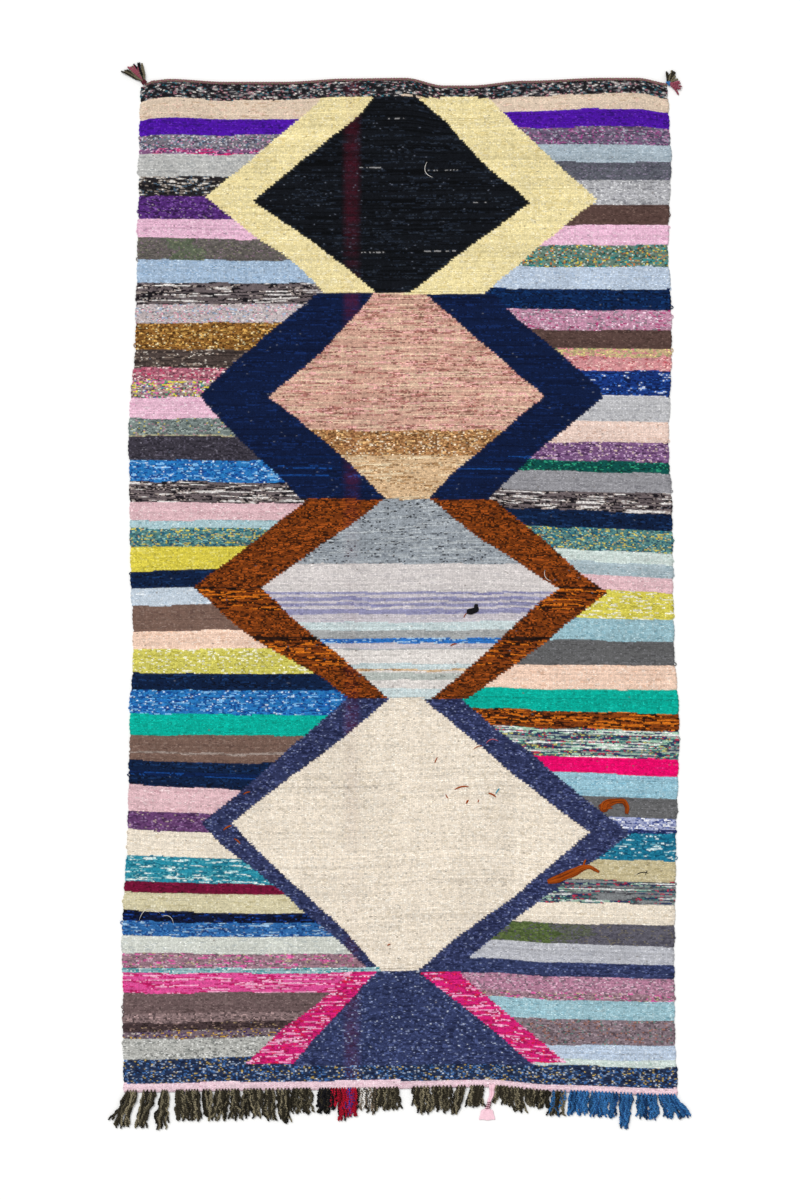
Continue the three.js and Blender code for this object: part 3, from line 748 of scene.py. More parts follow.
def ease(share):
    """3t^2 - 2t^3, level at 0 and at 1."""
    share = np.clip(share, 0.0, 1.0)
    return share * share * (3 - 2 * share)


def eased(rows, key, column, at):
    """Value of a table's column at a place: an eased step from each row to the next."""
    keys, values = rows[key], rows[column]
    at = np.asarray(at, dtype=float)
    low = np.clip(np.searchsorted(keys, at, side="right") - 1, 0, len(keys) - 2)
    share = ease((at - keys[low]) / (keys[low + 1] - keys[low]))
    return values[low] + share * (values[low + 1] - values[low])


def cloud(shape, cell, rng):
    """Smooth random field from -1 to 1: chance values on a coarse grid, eased between its nodes."""
    places = [np.arange(size) / step for size, step in zip(shape, cell)]
    coarse = rng.uniform(-1, 1, [int(place[-1]) + 2 for place in places])
    low = [place.astype(int) for place in places]
    share = [ease(place - base) for place, base in zip(places, low)]
    down = share[0][:, None]
    rows = coarse[low[0]] * (1 - down) + coarse[low[0] + 1] * down
    return rows[:, low[1]] * (1 - share[1]) + rows[:, low[1] + 1] * share[1]


def runs(shape, length, rng):
    """Chance field from 0 to 1 that changes slowly along a row: a running mean of noise, ranked."""
    noise = rng.random((shape[0], shape[1] + length)).cumsum(axis=1)
    mean = noise[:, length:] - noise[:, :-length]
    ranked = np.empty(mean.size)
    ranked[mean.argsort(axis=None)] = (np.arange(mean.size) + 0.5) / mean.size
    return ranked.reshape(shape)


# From the tables' places to the packed cloth's
TABLE_MIDDLE = (SELVEDGES["left"].min() + SELVEDGES["right"].max()) / 2
SHIFT_X = 1000 * (CLOTH_BOX[0].x + CLOTH_BOX[1].x) / 2 - TABLE_MIDDLE
SHIFT_Y = 1000 * CLOTH_BOX[1].y - CLOTH_LENGTH / 2 - TOP_END["rise"].max()


def rug_y(across, down):
    """Height in the frame of a place so far across and down the cloth, with the waves of its ends."""
    top = eased(TOP_END, "across", "rise", across) * (1 - ease(np.asarray(down) / TOP_FADE))
    lower = eased(LOWER_END, "across", "rise", across) * np.clip(np.asarray(down) / CLOTH_LENGTH, 0, 1)
    return CLOTH_LENGTH / 2 - down + top + lower + SHIFT_Y


def pick_fall(across, down):
    """How far a pick hangs below its height at the sides: a slope towards the middle that levels out,
    eased from the left side's value to the right side's over the middle of the rug."""
    left = eased(PICK_FALL, "down", "left", down) / 100
    right = eased(PICK_FALL, "down", "right", down) / 100
    left_way = np.clip(across - FALL_FROM["left"], -120, FALL_REACH)
    right_way = np.clip(FALL_FROM["right"] - across, -120, FALL_REACH)
    share = ease((across + 200) / 400)
    held = ease(down / 120) * ease((CLOTH_LENGTH - down) / 120)
    return held * (left * left_way * (1 - share) + right * right_way * share)


# Settings


def length_property(name, description, default):
    """A size in millimetres that a user may change."""
    return FloatProperty(name=name, description=description, default=default, min=0.0, precision=2)


class RUG_PG_cloth(bpy.types.PropertyGroup):
    """Sizes of the weave, in millimetres."""

    warps: IntProperty(
        name="Warps", description="Warp threads across, a multiple of 16", default=320, min=80
    )
    picks: IntProperty(name="Picks", description="Weft rows down the rug", default=912, min=100)
    thickness: length_property("Thickness", "Thickness at the seams between bands", 4.6)
    relief: length_property("Weave relief", "How far a bead stands over or under the face", 0.42)
    crown: length_property("Band crown", "How far a band's middle stands above its seams", 0.7)
    scallop: length_property("Scallop", "How far a band bulges at the selvedge", 3.0)


class RUG_PG_fringe(bpy.types.PropertyGroup):
    """Sizes of the fringe, plait and tassel yarns."""

    yarn: length_property("Yarn thickness", "Thickness of a plied fringe yarn", 6.2)
    strands: IntProperty(name="Strands", description="Yarns in each lock of the fringe", default=4, min=1)
    twist: length_property("Twist", "Length of one turn of the ply", 13.0)
    over: length_property("Knot", "How far a knot lies over the end band", 8.0)
    crinkle: length_property("Crinkle", "How far a fringe yarn kinks to either side", 4.2)


class RUG_PG_stage(bpy.types.PropertyGroup):
    """Floor, light and camera."""

    floor: FloatVectorProperty(
        name="Floor", description="Colour of the floor", subtype="COLOR", default=tuple(linear("#f6f6f5"))
    )
    sky: FloatProperty(name="Soft light", description="Strength of the light from all round", default=0.74)
    sun: FloatProperty(name="Key light", description="Strength of the soft key light", default=1.6)
    height: FloatProperty(
        name="Camera height", description="Camera over the floor", default=6.5, unit="LENGTH"
    )


RUG_PG_yarns = type(
    "RUG_PG_yarns",
    (bpy.types.PropertyGroup,),
    {
        "__doc__": "Main colour of each yarn.",
        "__annotations__": {
            name: FloatVectorProperty(
                name=name.replace("_", " ").capitalize(),
                description="Main colour of this yarn",
                subtype="COLOR",
                min=0.0,
                max=1.0,
                default=tuple(linear(row[1])),
            )
            for name, row in YARNS.items()
        },
    },
)


def yarn_colour(name):
    """Linear main colour of a yarn, as the settings hold it."""
    return np.array(getattr(bpy.context.scene.rug_yarns, name))


# Materials


def add_node(tree, kind, inputs=(), **settings):
    """One shader node with its settings, and with its inputs set to values or linked to sockets."""
    node = tree.nodes.new(kind)
    for name, value in settings.items():
        setattr(node, name, value)
    for socket, value in dict(inputs).items():
        if isinstance(value, bpy.types.NodeSocket):
            tree.links.new(value, node.inputs[socket])
        else:
            node.inputs[socket].default_value = value
    return node


def yarn_material(name, fibre_mm, roughness, sheen, woven, fuzz):
    """Spun or torn fibre that takes its colour from the mesh: fibre noise lightens and darkens it and
    roughens the surface. Woven cloth also gets a rounded bead with a dark gap round it on each cell of
    its loom map: bead = sqrt(|sin(pi u)| |sin(pi v)|)."""
    material = bpy.data.materials.get(name)
    if material:
        return material
    material = bpy.data.materials.new(name)
    material.use_nodes = True
    tree = material.node_tree
    tree.nodes.clear()
    colour = add_node(tree, "ShaderNodeAttribute", attribute_name="yarn_colour").outputs["Color"]
    place = add_node(tree, "ShaderNodeTexCoord").outputs["Object"]
    if woven:
        drawn = {0: place, 1: (0.3, 1.0, 1.0)}  # fibres of a weft lie across the rug
        place = add_node(tree, "ShaderNodeVectorMath", drawn, operation="MULTIPLY").outputs[0]
    fibre = add_node(
        tree,
        "ShaderNodeTexNoise",
        {"Vector": place, "Scale": 1 / (fibre_mm * MM), "Detail": 3.0, "Roughness": 0.65},
    ).outputs["Fac"]
    spread = {"Value": fibre, 1: 0.3, 2: 0.7, 3: 1 - fuzz, 4: 1 + fuzz}
    tone = add_node(tree, "ShaderNodeMapRange", spread).outputs[0]
    height = fibre
    if woven:
        loom = add_node(tree, "ShaderNodeUVMap", uv_map="loom").outputs["UV"]
        split = add_node(tree, "ShaderNodeSeparateXYZ", {0: loom})
        step = "ShaderNodeMath"
        waves = []
        for axis in ("X", "Y"):
            turn = add_node(tree, step, {0: split.outputs[axis], 1: math.pi}, operation="MULTIPLY")
            wave = add_node(tree, step, {0: turn.outputs[0]}, operation="SINE")
            waves.append(add_node(tree, step, {0: wave.outputs[0]}, operation="ABSOLUTE").outputs[0])
        product = add_node(tree, step, {0: waves[0], 1: waves[1]}, operation="MULTIPLY").outputs[0]
        bead = add_node(tree, step, {0: product}, operation="SQRT").outputs[0]
        # painted shade: where the bead falls below 0.6 towards the cell's edge, the colour darkens down to
        # 0.62
        gap_shade_range = {"Value": bead, 1: 0.0, 2: 0.6, 3: 0.62, 4: 1.0}
        painted_gap_shade = add_node(tree, "ShaderNodeMapRange", gap_shade_range).outputs[0]
        tone = add_node(tree, step, {0: tone, 1: painted_gap_shade}, operation="MULTIPLY").outputs[0]
        height = add_node(tree, step, {0: fibre, 1: 0.5, 2: bead}, operation="MULTIPLY_ADD").outputs[0]
    shade = add_node(tree, "ShaderNodeVectorMath", {0: colour, "Scale": tone}, operation="SCALE").outputs[0]
    bump = add_node(
        tree, "ShaderNodeBump", {"Height": height, "Strength": 0.7, "Distance": 0.8 * MM}
    ).outputs["Normal"]
    shader = add_node(
        tree,
        "ShaderNodeBsdfPrincipled",
        {
            "Base Color": shade,
            "Roughness": roughness,
            "Specular IOR Level": 0.05,
            "Sheen Weight": sheen,
            "Sheen Roughness": 0.6,
            "Normal": bump,
        },
    )
    add_node(tree, "ShaderNodeOutputMaterial", {"Surface": shader.outputs[0]})
    return material


# Kinds of yarn: fibre size in mm, roughness, sheen, tone of the fibres, bulk over the base cloth in mm,
# and how uneven its beads are
KINDS = {
    "wool": (1.1, 0.95, 0.02, 0.2, 0.1, 0.17),  # hairy woollen tweed, dull and uneven
    "rag": (2.4, 0.9, 0.02, 0.1, 0.35, 0.1),  # torn cotton and jersey strips, matte with soft creases
    "acrylic": (0.9, 0.75, 0.02, 0.12, 0.2, 0.14),  # smooth spun acrylic, a little brighter on its turns
    "boucle": (1.8, 0.98, 0.02, 0.3, 0.9, 0.28),  # looped wool, lumpy and deeply shaded
}
KIND_NAMES = list(KINDS)
KIND_MATERIALS = {
    "wool": "woollen_yarn",
    "rag": "cotton_rag",
    "acrylic": "acrylic_yarn",
    "boucle": "boucle_wool",
}


def kind_material(kind, woven):
    """The material of one kind of yarn, as woven cloth or as a loose strand."""
    fibre, roughness, sheen, fuzz = KINDS[kind][:4]
    ending = "_weave" if woven else "_strand"
    return yarn_material(KIND_MATERIALS[kind] + ending, fibre, roughness, sheen, woven, fuzz)


# Meshes


def put_mesh(name, points, faces, colours, materials, domain="POINT", kinds=None, maps=()):
    """A new object at the origin from points in mm, with a colour for each point or each face corner."""
    mesh = bpy.data.meshes.new(name)
    mesh.from_pydata(points * MM, [], faces)
    attribute = mesh.attributes.new("yarn_colour", "FLOAT_COLOR", domain)
    opaque = np.column_stack([colours, np.ones(len(colours))])
    attribute.data.foreach_set("color", opaque.astype(np.float32).ravel())
    for title, places in maps:
        layer = mesh.uv_layers.new(name=title)
        layer.data.foreach_set("uv", places.astype(np.float32).ravel())
    for material in materials:
        mesh.materials.append(material)
    if kinds is not None:
        mesh.polygons.foreach_set("material_index", kinds.astype(np.int32))
    mesh.polygons.foreach_set("use_smooth", np.ones(len(mesh.polygons), dtype=bool))
    mesh.validate()
    mesh.update()
    piece = bpy.data.objects.new(name, mesh)
    bpy.context.scene.collection.objects.link(piece)
    return piece


def tube_points(paths, radii, sides, ply=0.0, turn=15.0, phase=0.0):
    """Rings carried along paths: a circle across the path whose radius swells twice round and turns
    with the length, r (1 + ply cos(2 (angle - 2 pi length / turn) + phase)), as two plies do. Also
    gives the shade of each point, darker in the grooves between the plies."""
    way = np.gradient(paths, axis=1)
    way /= np.linalg.norm(way, axis=2, keepdims=True) + 1e-9
    beside = np.cross(way, np.array([0.0, 0.0, 1.0]))
    beside /= np.linalg.norm(beside, axis=2, keepdims=True) + 1e-9
    above = np.cross(beside, way)
    steps = np.linalg.norm(np.diff(paths, axis=1), axis=2)
    length = np.concatenate([np.zeros((len(paths), 1)), steps.cumsum(axis=1)], axis=1)
    angle = 2 * math.pi * np.arange(sides) / sides
    turned = 2 * (angle - 2 * math.pi * length[:, :, None] / turn) + np.reshape(phase, (-1, 1, 1))
    size = radii[:, :, None] * (1 + ply * np.cos(turned))
    around = np.cos(angle)[:, None] * beside[:, :, None] + np.sin(angle)[:, None] * above[:, :, None]
    painted_groove_shade = 1 - 1.35 * ply * (1 - np.cos(turned))
    return paths[:, :, None] + size[..., None] * around, painted_groove_shade


def tube_faces(count, rings, sides):
    """Quads round each of several tubes, and a cap on each end."""
    start = (np.arange(count) * rings * sides)[:, None, None]
    ring = (np.arange(rings - 1) * sides)[:, None]
    here = np.arange(sides)
    after = (here + 1) % sides
    low, high = start + ring + here, start + ring + after
    quads = np.stack([low, high, high + sides, low + sides], axis=-1).reshape(-1, 4)
    first = start[:, 0] + here[::-1]
    last = start[:, 0] + (rings - 1) * sides + here
    return quads.tolist() + first.tolist() + last.tolist()


def put_tubes(name, paths, radii, colours, kind, sides=6, ply=0.0, turn=15.0, phase=0.0):
    """One object of many closed yarns, each with its own colour."""
    points, painted_groove_shade = tube_points(paths, radii, sides, ply, turn, phase)
    points[..., 2] = np.maximum(points[..., 2], 0.05)  # what lies on the floor is pressed flat
    count, rings = radii.shape
    # painted shade: each yarn's colour is darkened in the grooves between its plies
    each = np.repeat(colours, rings * sides, axis=0) * painted_groove_shade.reshape(-1, 1)
    faces = tube_faces(count, rings, sides)
    return put_mesh(name, points.reshape(-1, 3), faces, each, [kind_material(kind, woven=False)])


def finish_piece(piece, slot, *nodes):
    """Ties a piece to the frame: it rides on the rug's one body and stands for its nodes."""
    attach(piece, "root")
    if nodes:
        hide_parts(*nodes)
    return piece


# Cloth


def band_bounds(bands):
    """Where each band ends, scaled to the cloth's length."""
    heights = np.array([height for _, height in bands], dtype=float)
    return heights.cumsum() * CLOTH_LENGTH / heights.sum()


def yarn_numbers(names):
    """Places of yarns in the list of yarns."""
    order = list(YARNS)
    return np.array([order.index(name) for name in names])


def edge_at(points, down):
    """Across place of a diamond's edge, straight between its points."""
    downs, acrosses = np.array(points, dtype=float).T
    return np.interp(down, downs, acrosses)


def chart(across, down, placed, rng):
    """Yarn of every bead. Bands fill the two sides, and patches change the yarn of some. Then each
    diamond is laid over them by its beads' place in the frame, with edges that step every two picks
    and stray a little, and with bands of its own in its border and its centre."""
    shape = across.shape
    ragged = down + SEAM_STRAY * cloud(shape, (9, 16), rng)
    yarn = np.empty(shape, dtype=int)
    for bands, side in ((LEFT_BANDS, across < 0), (RIGHT_BANDS, across >= 0)):
        ends = band_bounds(bands)
        numbers = yarn_numbers([name for name, _ in bands])
        band = np.minimum(np.searchsorted(ends, ragged), len(ends) - 1)
        yarn[side] = numbers[band][side]
    strayed = across + PATCH_STRAY * cloud(shape, (4, 30), rng)
    for old, new, start, stop in PATCHES:
        patch = (yarn == yarn_numbers([old])) & (strayed > start) & (strayed < stop)
        yarn[patch] = yarn_numbers([new])
    pick = CLOTH_LENGTH / shape[0]
    stepped = (np.floor(down / (2 * pick)) + 0.5) * 2 * pick + placed - down
    shaken = across + EDGE_STRAY * cloud(shape, (12, 60), rng)
    for motif in MOTIFS:
        for part, fill in (("outer", "border"), ("inner", "fill")):
            left, right, bands = motif[part + "_left"], motif[part + "_right"], motif[fill]
            inside = (stepped >= left[0][0]) & (stepped < left[-1][0])
            inside &= (shaken > edge_at(left, stepped)) & (shaken < edge_at(right, stepped))
            ends = left[0][0] + np.cumsum([height for _, height in bands])
            numbers = yarn_numbers([name for name, _ in bands])
            band = np.minimum(np.searchsorted(ends, ragged + placed - down), len(ends) - 1)
            yarn[inside] = numbers[band][inside]
    return yarn


def blend(colours, share, colour):
    """Moves colours towards one colour by a share at each bead."""
    colours += share[..., None] * (linear(colour) - colours)


def dye(yarn, across, down, low, rng):
    """Linear colour of every bead: the yarn's main colour or one of its flecks, toned by pick, warp
    and bead and by slow drifts, with stray fibres, red warps and pale threads showing here and there."""
    shape = yarn.shape
    lengths = sorted({row[2] for row in YARNS.values()})
    fields = {length: runs(shape, length, rng) for length in lengths}
    colours = np.zeros(shape + (3,))
    for number, (name, (_, _, length, flecks)) in enumerate(YARNS.items()):
        here = yarn == number
        if not here.any():
            continue
        parts = [part.split() for part in flecks.split(",") if part]
        shares = np.cumsum([float(share) for _, share in parts]) / 100
        palette = np.array([linear(code) for code, _ in parts] + [yarn_colour(name)])
        colours[here] = palette[np.searchsorted(shares, fields[length][here])]
    uneven = np.array([KINDS[row[0]][5] for row in YARNS.values()])[yarn]
    sides = rng.normal(0, 0.06, (shape[0], 2))
    tone = 1 + np.where(across < 0, sides[:, :1], sides[:, 1:]) + rng.normal(0, 0.02, shape[1])
    tone += uneven * rng.normal(0, 1, shape) + 0.06 * cloud(shape, (26, 18), rng)
    # painted shade: every other bead, where the weft dips under a warp, is darkened by 8%
    tone *= np.where(low, 0.92, 1.0)
    colours *= np.clip(tone, 0.4, 1.6)[..., None]
    bright = colours.mean(axis=-1)
    specks = rng.random(shape)
    blend(colours, 0.7 * ((specks < 0.003) & (bright > 0.25)), DARK_SPECK)
    blend(colours, 0.4 * ((specks < 0.004) & (bright < 0.03)), PALE_SPECK)
    stripe = ease(1.3 - np.abs(across - RED_STRIPE[0]) / RED_STRIPE[1]) * np.where(bright > 0.15, 0.13, 0.32)
    drift = 0.3 * cloud(shape, (2, 40), rng) + 0.3 * cloud(shape, (22, 40), rng)
    patchy = (0.5 + drift) * rng.uniform(0.4, 1.0, shape)
    blend(colours, stripe * patchy, RED_WARP)
    pick = CLOTH_LENGTH / shape[0]
    for place, start, stop in DOTTED_PICKS:
        thread = (np.abs(down - place) < pick / 2) & (across > start) & (across < stop)
        blend(colours, 0.7 * (thread & (rng.random(shape) < 0.4)), PALE_THREAD)
    return colours


def at_corners(field):
    """Mean of the beads round each corner of the grid."""
    sides = [(1, 1), (1, 1)] + [(0, 0)] * (field.ndim - 2)
    padded = np.pad(field, sides, mode="edge")
    return (padded[:-1, :-1] + padded[1:, :-1] + padded[:-1, 1:] + padded[1:, 1:]) / 4


def band_crown(bands, down):
    """Parabola over each band, 0 at its seams and 1 in its middle."""
    ends = band_bounds(bands)
    starts = np.concatenate([[0], ends[:-1]])
    band = np.minimum(np.searchsorted(ends, down), len(ends) - 1)
    share = (down - starts[band]) / (ends[band] - starts[band])
    return 4 * share * (1 - share), band


def weave(settings):
    """The whole cloth as a grid of warps by picks: corner points of the face, and the colour and
    kind of each bead. A point lies at its share of the width between the selvedges, at its pick's
    height, and on an egg-crate relief that rises and falls at every other warp and pick."""
    rng = np.random.default_rng(11)
    picks, warps = settings.picks, settings.warps
    down = np.linspace(0, CLOTH_LENGTH, picks + 1)
    edges = []
    for bands, side, outward in ((LEFT_BANDS, "left", -1), (RIGHT_BANDS, "right", 1)):
        crown, band = band_crown(bands, down)
        pulled = rng.uniform(-0.5, 0.5, len(bands))[band]
        turns = 0.6 * (-1.0) ** (np.arange(picks + 1) // 2)
        bulge = settings.scallop * (crown - 0.5 + pulled) + turns
        edges.append(eased(SELVEDGES, "down", side, down) + outward * bulge)
    share = np.linspace(0, 1, warps + 1)
    across = edges[0][:, None] + (edges[1] - edges[0])[:, None] * share
    downs = np.repeat(down[:, None], warps + 1, axis=1)
    fall = pick_fall(across, downs)
    held = ease(downs / 60) * ease((CLOTH_LENGTH - downs) / 60)
    wander = held * (1.6 * cloud(across.shape, (30, 50), rng) + 0.7 * cloud(across.shape, (1, 9), rng))
    rim = np.minimum.reduce([columns_from_edge(across.shape), rows_from_end(across.shape)])
    loose = np.where(rim > 0, BEAD_STRAY, 0.0)
    pitch = (across[0, 1] - across[0, 0], CLOTH_LENGTH / picks)
    x = across + loose * pitch[0] * rng.uniform(-1, 1, across.shape) + SHIFT_X
    y = rug_y(across, downs) - fall + wander + loose * pitch[1] * rng.uniform(-1, 1, across.shape)
    placed = CLOTH_LENGTH / 2 + SHIFT_Y - rug_y(across, downs) + fall
    middle = [(grid[:-1, :-1] + grid[1:, 1:]) / 2 for grid in (across, downs, placed)]
    yarn = chart(*middle, rng)
    rows, columns = np.indices(yarn.shape)
    # every other bead, where the weft dips under a warp; dye darkens these as painted shade
    low = (rows + columns) % 2 == 1
    colours = dye(yarn, middle[0], middle[1], low, rng)
    kind = np.array([KIND_NAMES.index(row[0]) for row in YARNS.values()])[yarn]
    bulk = np.array([KINDS[name][4] for name in KIND_NAMES])[kind]
    crowns = [band_crown(bands, middle[1])[0] for bands in (LEFT_BANDS, RIGHT_BANDS)]
    beside = ease((np.abs(middle[0]) - DIAMOND_HALF) / (BANDS_FULL_FROM - DIAMOND_HALF))
    crown = np.where(middle[0] < 0, *crowns) * beside + 0.6 * (1 - beside)
    parity = np.where(np.add(*np.indices(across.shape)) % 2 == 0, 1.0, -1.0)
    z = settings.thickness + at_corners(bulk + settings.crown * crown) + settings.relief * parity
    z += 0.35 * cloud(across.shape, (60, 60), rng) + 0.15 * rng.normal(0, 1, across.shape)
    z *= np.choose(np.minimum(rim, 2), RIM_HEIGHTS)
    return np.stack([x, y, z], axis=-1), colours, kind


def columns_from_edge(shape):
    """How many columns each place of a grid lies from the nearer side."""
    columns = np.indices(shape)[1]
    return np.minimum(columns, shape[1] - 1 - columns)


def rows_from_end(shape):
    """How many rows each place of a grid lies from the nearer end."""
    rows = np.indices(shape)[0]
    return np.minimum(rows, shape[0] - 1 - rows)


def section_mesh(name, grid, colours, soft, kind):
    """One closed stretch of cloth: the woven face, a flat back on the floor with wider cells, and
    walls at the selvedges and ends. Every face corner carries its bead's colour."""
    high, wide = kind.shape
    cells = wide // BACK_STEP
    back = grid[:, ::BACK_STEP].copy()
    back[..., 2] = 0.0
    points = np.concatenate([grid.reshape(-1, 3), back.reshape(-1, 3)])
    face = np.arange((high + 1) * (wide + 1)).reshape(high + 1, wide + 1)
    under = face.size + np.arange((high + 1) * (cells + 1)).reshape(high + 1, cells + 1)

    def quads(corners):
        """Faces from the four grids of their corners."""
        return np.stack(corners, axis=-1).reshape(-1, 4)

    faces, tints, kinds, bake, loom = [], [], [], [], []

    def add(polygons, colour, sort, across, along, rows, beads):
        """One group of faces, with its share of each map: across and along run from 0 to 1."""
        count = polygons.shape[1]
        faces.extend(polygons.tolist())
        each = np.repeat(colour.reshape(-1, 3), count, axis=0) if colour.ndim < 4 else colour.reshape(-1, 3)
        tints.append(each)
        kinds.append(sort.ravel())
        low, top = BAKE_ROWS[rows]
        bake.append(np.column_stack([0.004 + 0.992 * across.ravel(), low + (top - low) * along.ravel()]))
        loom.append(beads.reshape(-1, 2))

    row, column = np.indices((high + 1, wide + 1))
    row_of, column_of = np.zeros(len(points)), np.zeros(len(points))
    row_of[: face.size], column_of[: face.size] = row.ravel(), column.ravel()
    row_of[face.size :] = np.repeat(np.arange(high + 1), cells + 1)
    column_of[face.size :] = np.tile(np.arange(cells + 1) * BACK_STEP, high + 1)

    def place(polygons):
        """Share of the width and of the length at each face corner."""
        return column_of[polygons] / wide, 1 - row_of[polygons] / high

    top = quads([face[:-1, :-1], face[1:, :-1], face[1:, 1:], face[:-1, 1:]])
    around = np.stack([soft[:-1, :-1], soft[1:, :-1], soft[1:, 1:], soft[:-1, 1:]], axis=2)
    blended = (1 - SOFTNESS) * colours[:, :, None] + SOFTNESS * around
    add(top, blended, kind, *place(top), "face", np.stack([column_of[top], row_of[top]], axis=-1))
    low = quads([under[:-1, :-1], under[:-1, 1:], under[1:, 1:], under[1:, :-1]])
    half = BACK_STEP // 2
    seen = np.stack([column_of[low], row_of[low]], axis=-1)
    add(low, colours[:, half::BACK_STEP], kind[:, half::BACK_STEP], *place(low), "back", seen)
    left = quads([face[:-1, 0], under[:-1, 0], under[1:, 0], face[1:, 0]])
    right = quads([face[:-1, -1], face[1:, -1], under[1:, -1], under[:-1, -1]])
    for wall, side, rows in ((left, 0, "left"), (right, -1, "right")):
        rise = (wall < face.size).astype(float)
        beads = np.stack([row_of[wall], rise], axis=-1)
        add(wall, colours[:, side], kind[:, side], row_of[wall] / high, rise, rows, beads)
    for end, rows, turn in ((0, "top", 1), (-1, "lower", -1)):
        spans = np.arange(cells)[:, None] * BACK_STEP + np.arange(BACK_STEP + 1)
        sill = np.stack([under[end, 1:], under[end, :-1]], axis=-1)
        wall = np.concatenate([face[end][spans], sill], axis=1)[:, ::turn]
        rise = (wall < face.size).astype(float)
        beads = np.stack([column_of[wall], rise], axis=-1)
        mid = slice(half, None, BACK_STEP)
        add(wall, colours[end, mid], kind[end, mid], column_of[wall] / wide, rise, rows, beads)
    materials = [kind_material(each, woven=True) for each in KIND_NAMES]
    maps = (("OFBake", np.concatenate(bake)), ("loom", np.concatenate(loom)))
    colour, sort = np.concatenate(tints), np.concatenate(kinds)
    return put_mesh(name, points, faces, colour, materials, "CORNER", sort, maps)


class RUG_OT_cloth(bpy.types.Operator):
    """Weave the rug's cloth, in stretches that meet at the pinches between its diamonds"""

    bl_idname = "rug.cloth"
    bl_label = "Woven cloth"

    def execute(self, context):
        """The woven grid is cut at the rows nearest to the pinches, and each stretch becomes a sheet."""
        settings = context.scene.rug_cloth
        grid, colours, kind = weave(settings)
        soft = at_corners(colours)
        cuts = [round(cut / CLOTH_LENGTH * settings.picks / 2) * 2 for cut in SECTION_CUTS]
        for number, (start, stop) in enumerate(zip(cuts[:-1], cuts[1:]), start=1):
            name = f"woven_cloth_{number}"
            rows, corners = slice(start, stop), slice(start, stop + 1)
            piece = section_mesh(name, grid[corners], colours[rows], soft[corners], kind[rows])
            finish_piece(piece, "woven_rag_cloth", "rug_cloth")
        return {"FINISHED"}


# Plait, tassels and fringe


class RUG_OT_plait(bpy.types.Operator):
    """Plait the warp ends along the top end"""

    bl_idname = "rug.plait"
    bl_label = "Top plait"

    turn = 22.0  # length of a whole turn of the braid
    bend = 22.0  # length over which it bends to a knot
    yarn = 4.2
    rise = 3.8  # its middle line over the cloth's end
    rings = 520

    def execute(self, context):
        """Three yarns that swing side to side and over and under: across the plait sin(t), up sin(2t).
        The plait follows the top end and bends into the tassels' knots at the corners."""
        knots = {}
        for side, (out, above), _, _ in TASSELS.values():
            knots[side] = (SELVEDGES[side][0] + out, above)
        across = np.linspace(knots["left"][0], knots["right"][0], self.rings)
        inner = np.clip(across, SELVEDGES["left"][0], SELVEDGES["right"][0])
        middle = rug_y(inner, 0.0) + self.rise
        for side, (place, above) in knots.items():
            level = rug_y(SELVEDGES[side][0], 0.0) + above
            middle = level + (middle - level) * ease(np.abs(across - place) / self.bend)
        paths = []
        for strand in range(3):
            turned = 2 * math.pi * (across / self.turn + strand / 3)
            y = middle + 2.0 * np.sin(turned)
            z = 3.4 + 1.3 * np.sin(2 * turned)
            paths.append(np.column_stack([across + SHIFT_X, y, z]))
        radii = np.full((3, self.rings), self.yarn / 2)
        names = ("faded_wine", "faded_wine", "olive_light")
        colours = np.array([yarn_colour(name) for name in names])
        piece = put_tubes("plait_of_warp_ends", np.array(paths), radii, colours, "wool", ply=0.12)
        finish_piece(piece, "plait_yarn", "end_plait")
        return {"FINISHED"}


def strand_shape(count, rings, yarn, rng, blunt=0.75):
    """Radii along yarns: thin at the knot, full along the length, a little frayed at the cut end."""
    share = np.linspace(0, 1, rings)
    profile = 0.45 + 0.55 * ease(share / 0.12) - (1 - blunt) * ease((share - 0.9) / 0.1)
    sizes = yarn / 2 * rng.uniform(0.85, 1.12, (count, 1))
    return sizes * profile * (1 + 0.05 * rng.normal(0, 1, (count, rings)))


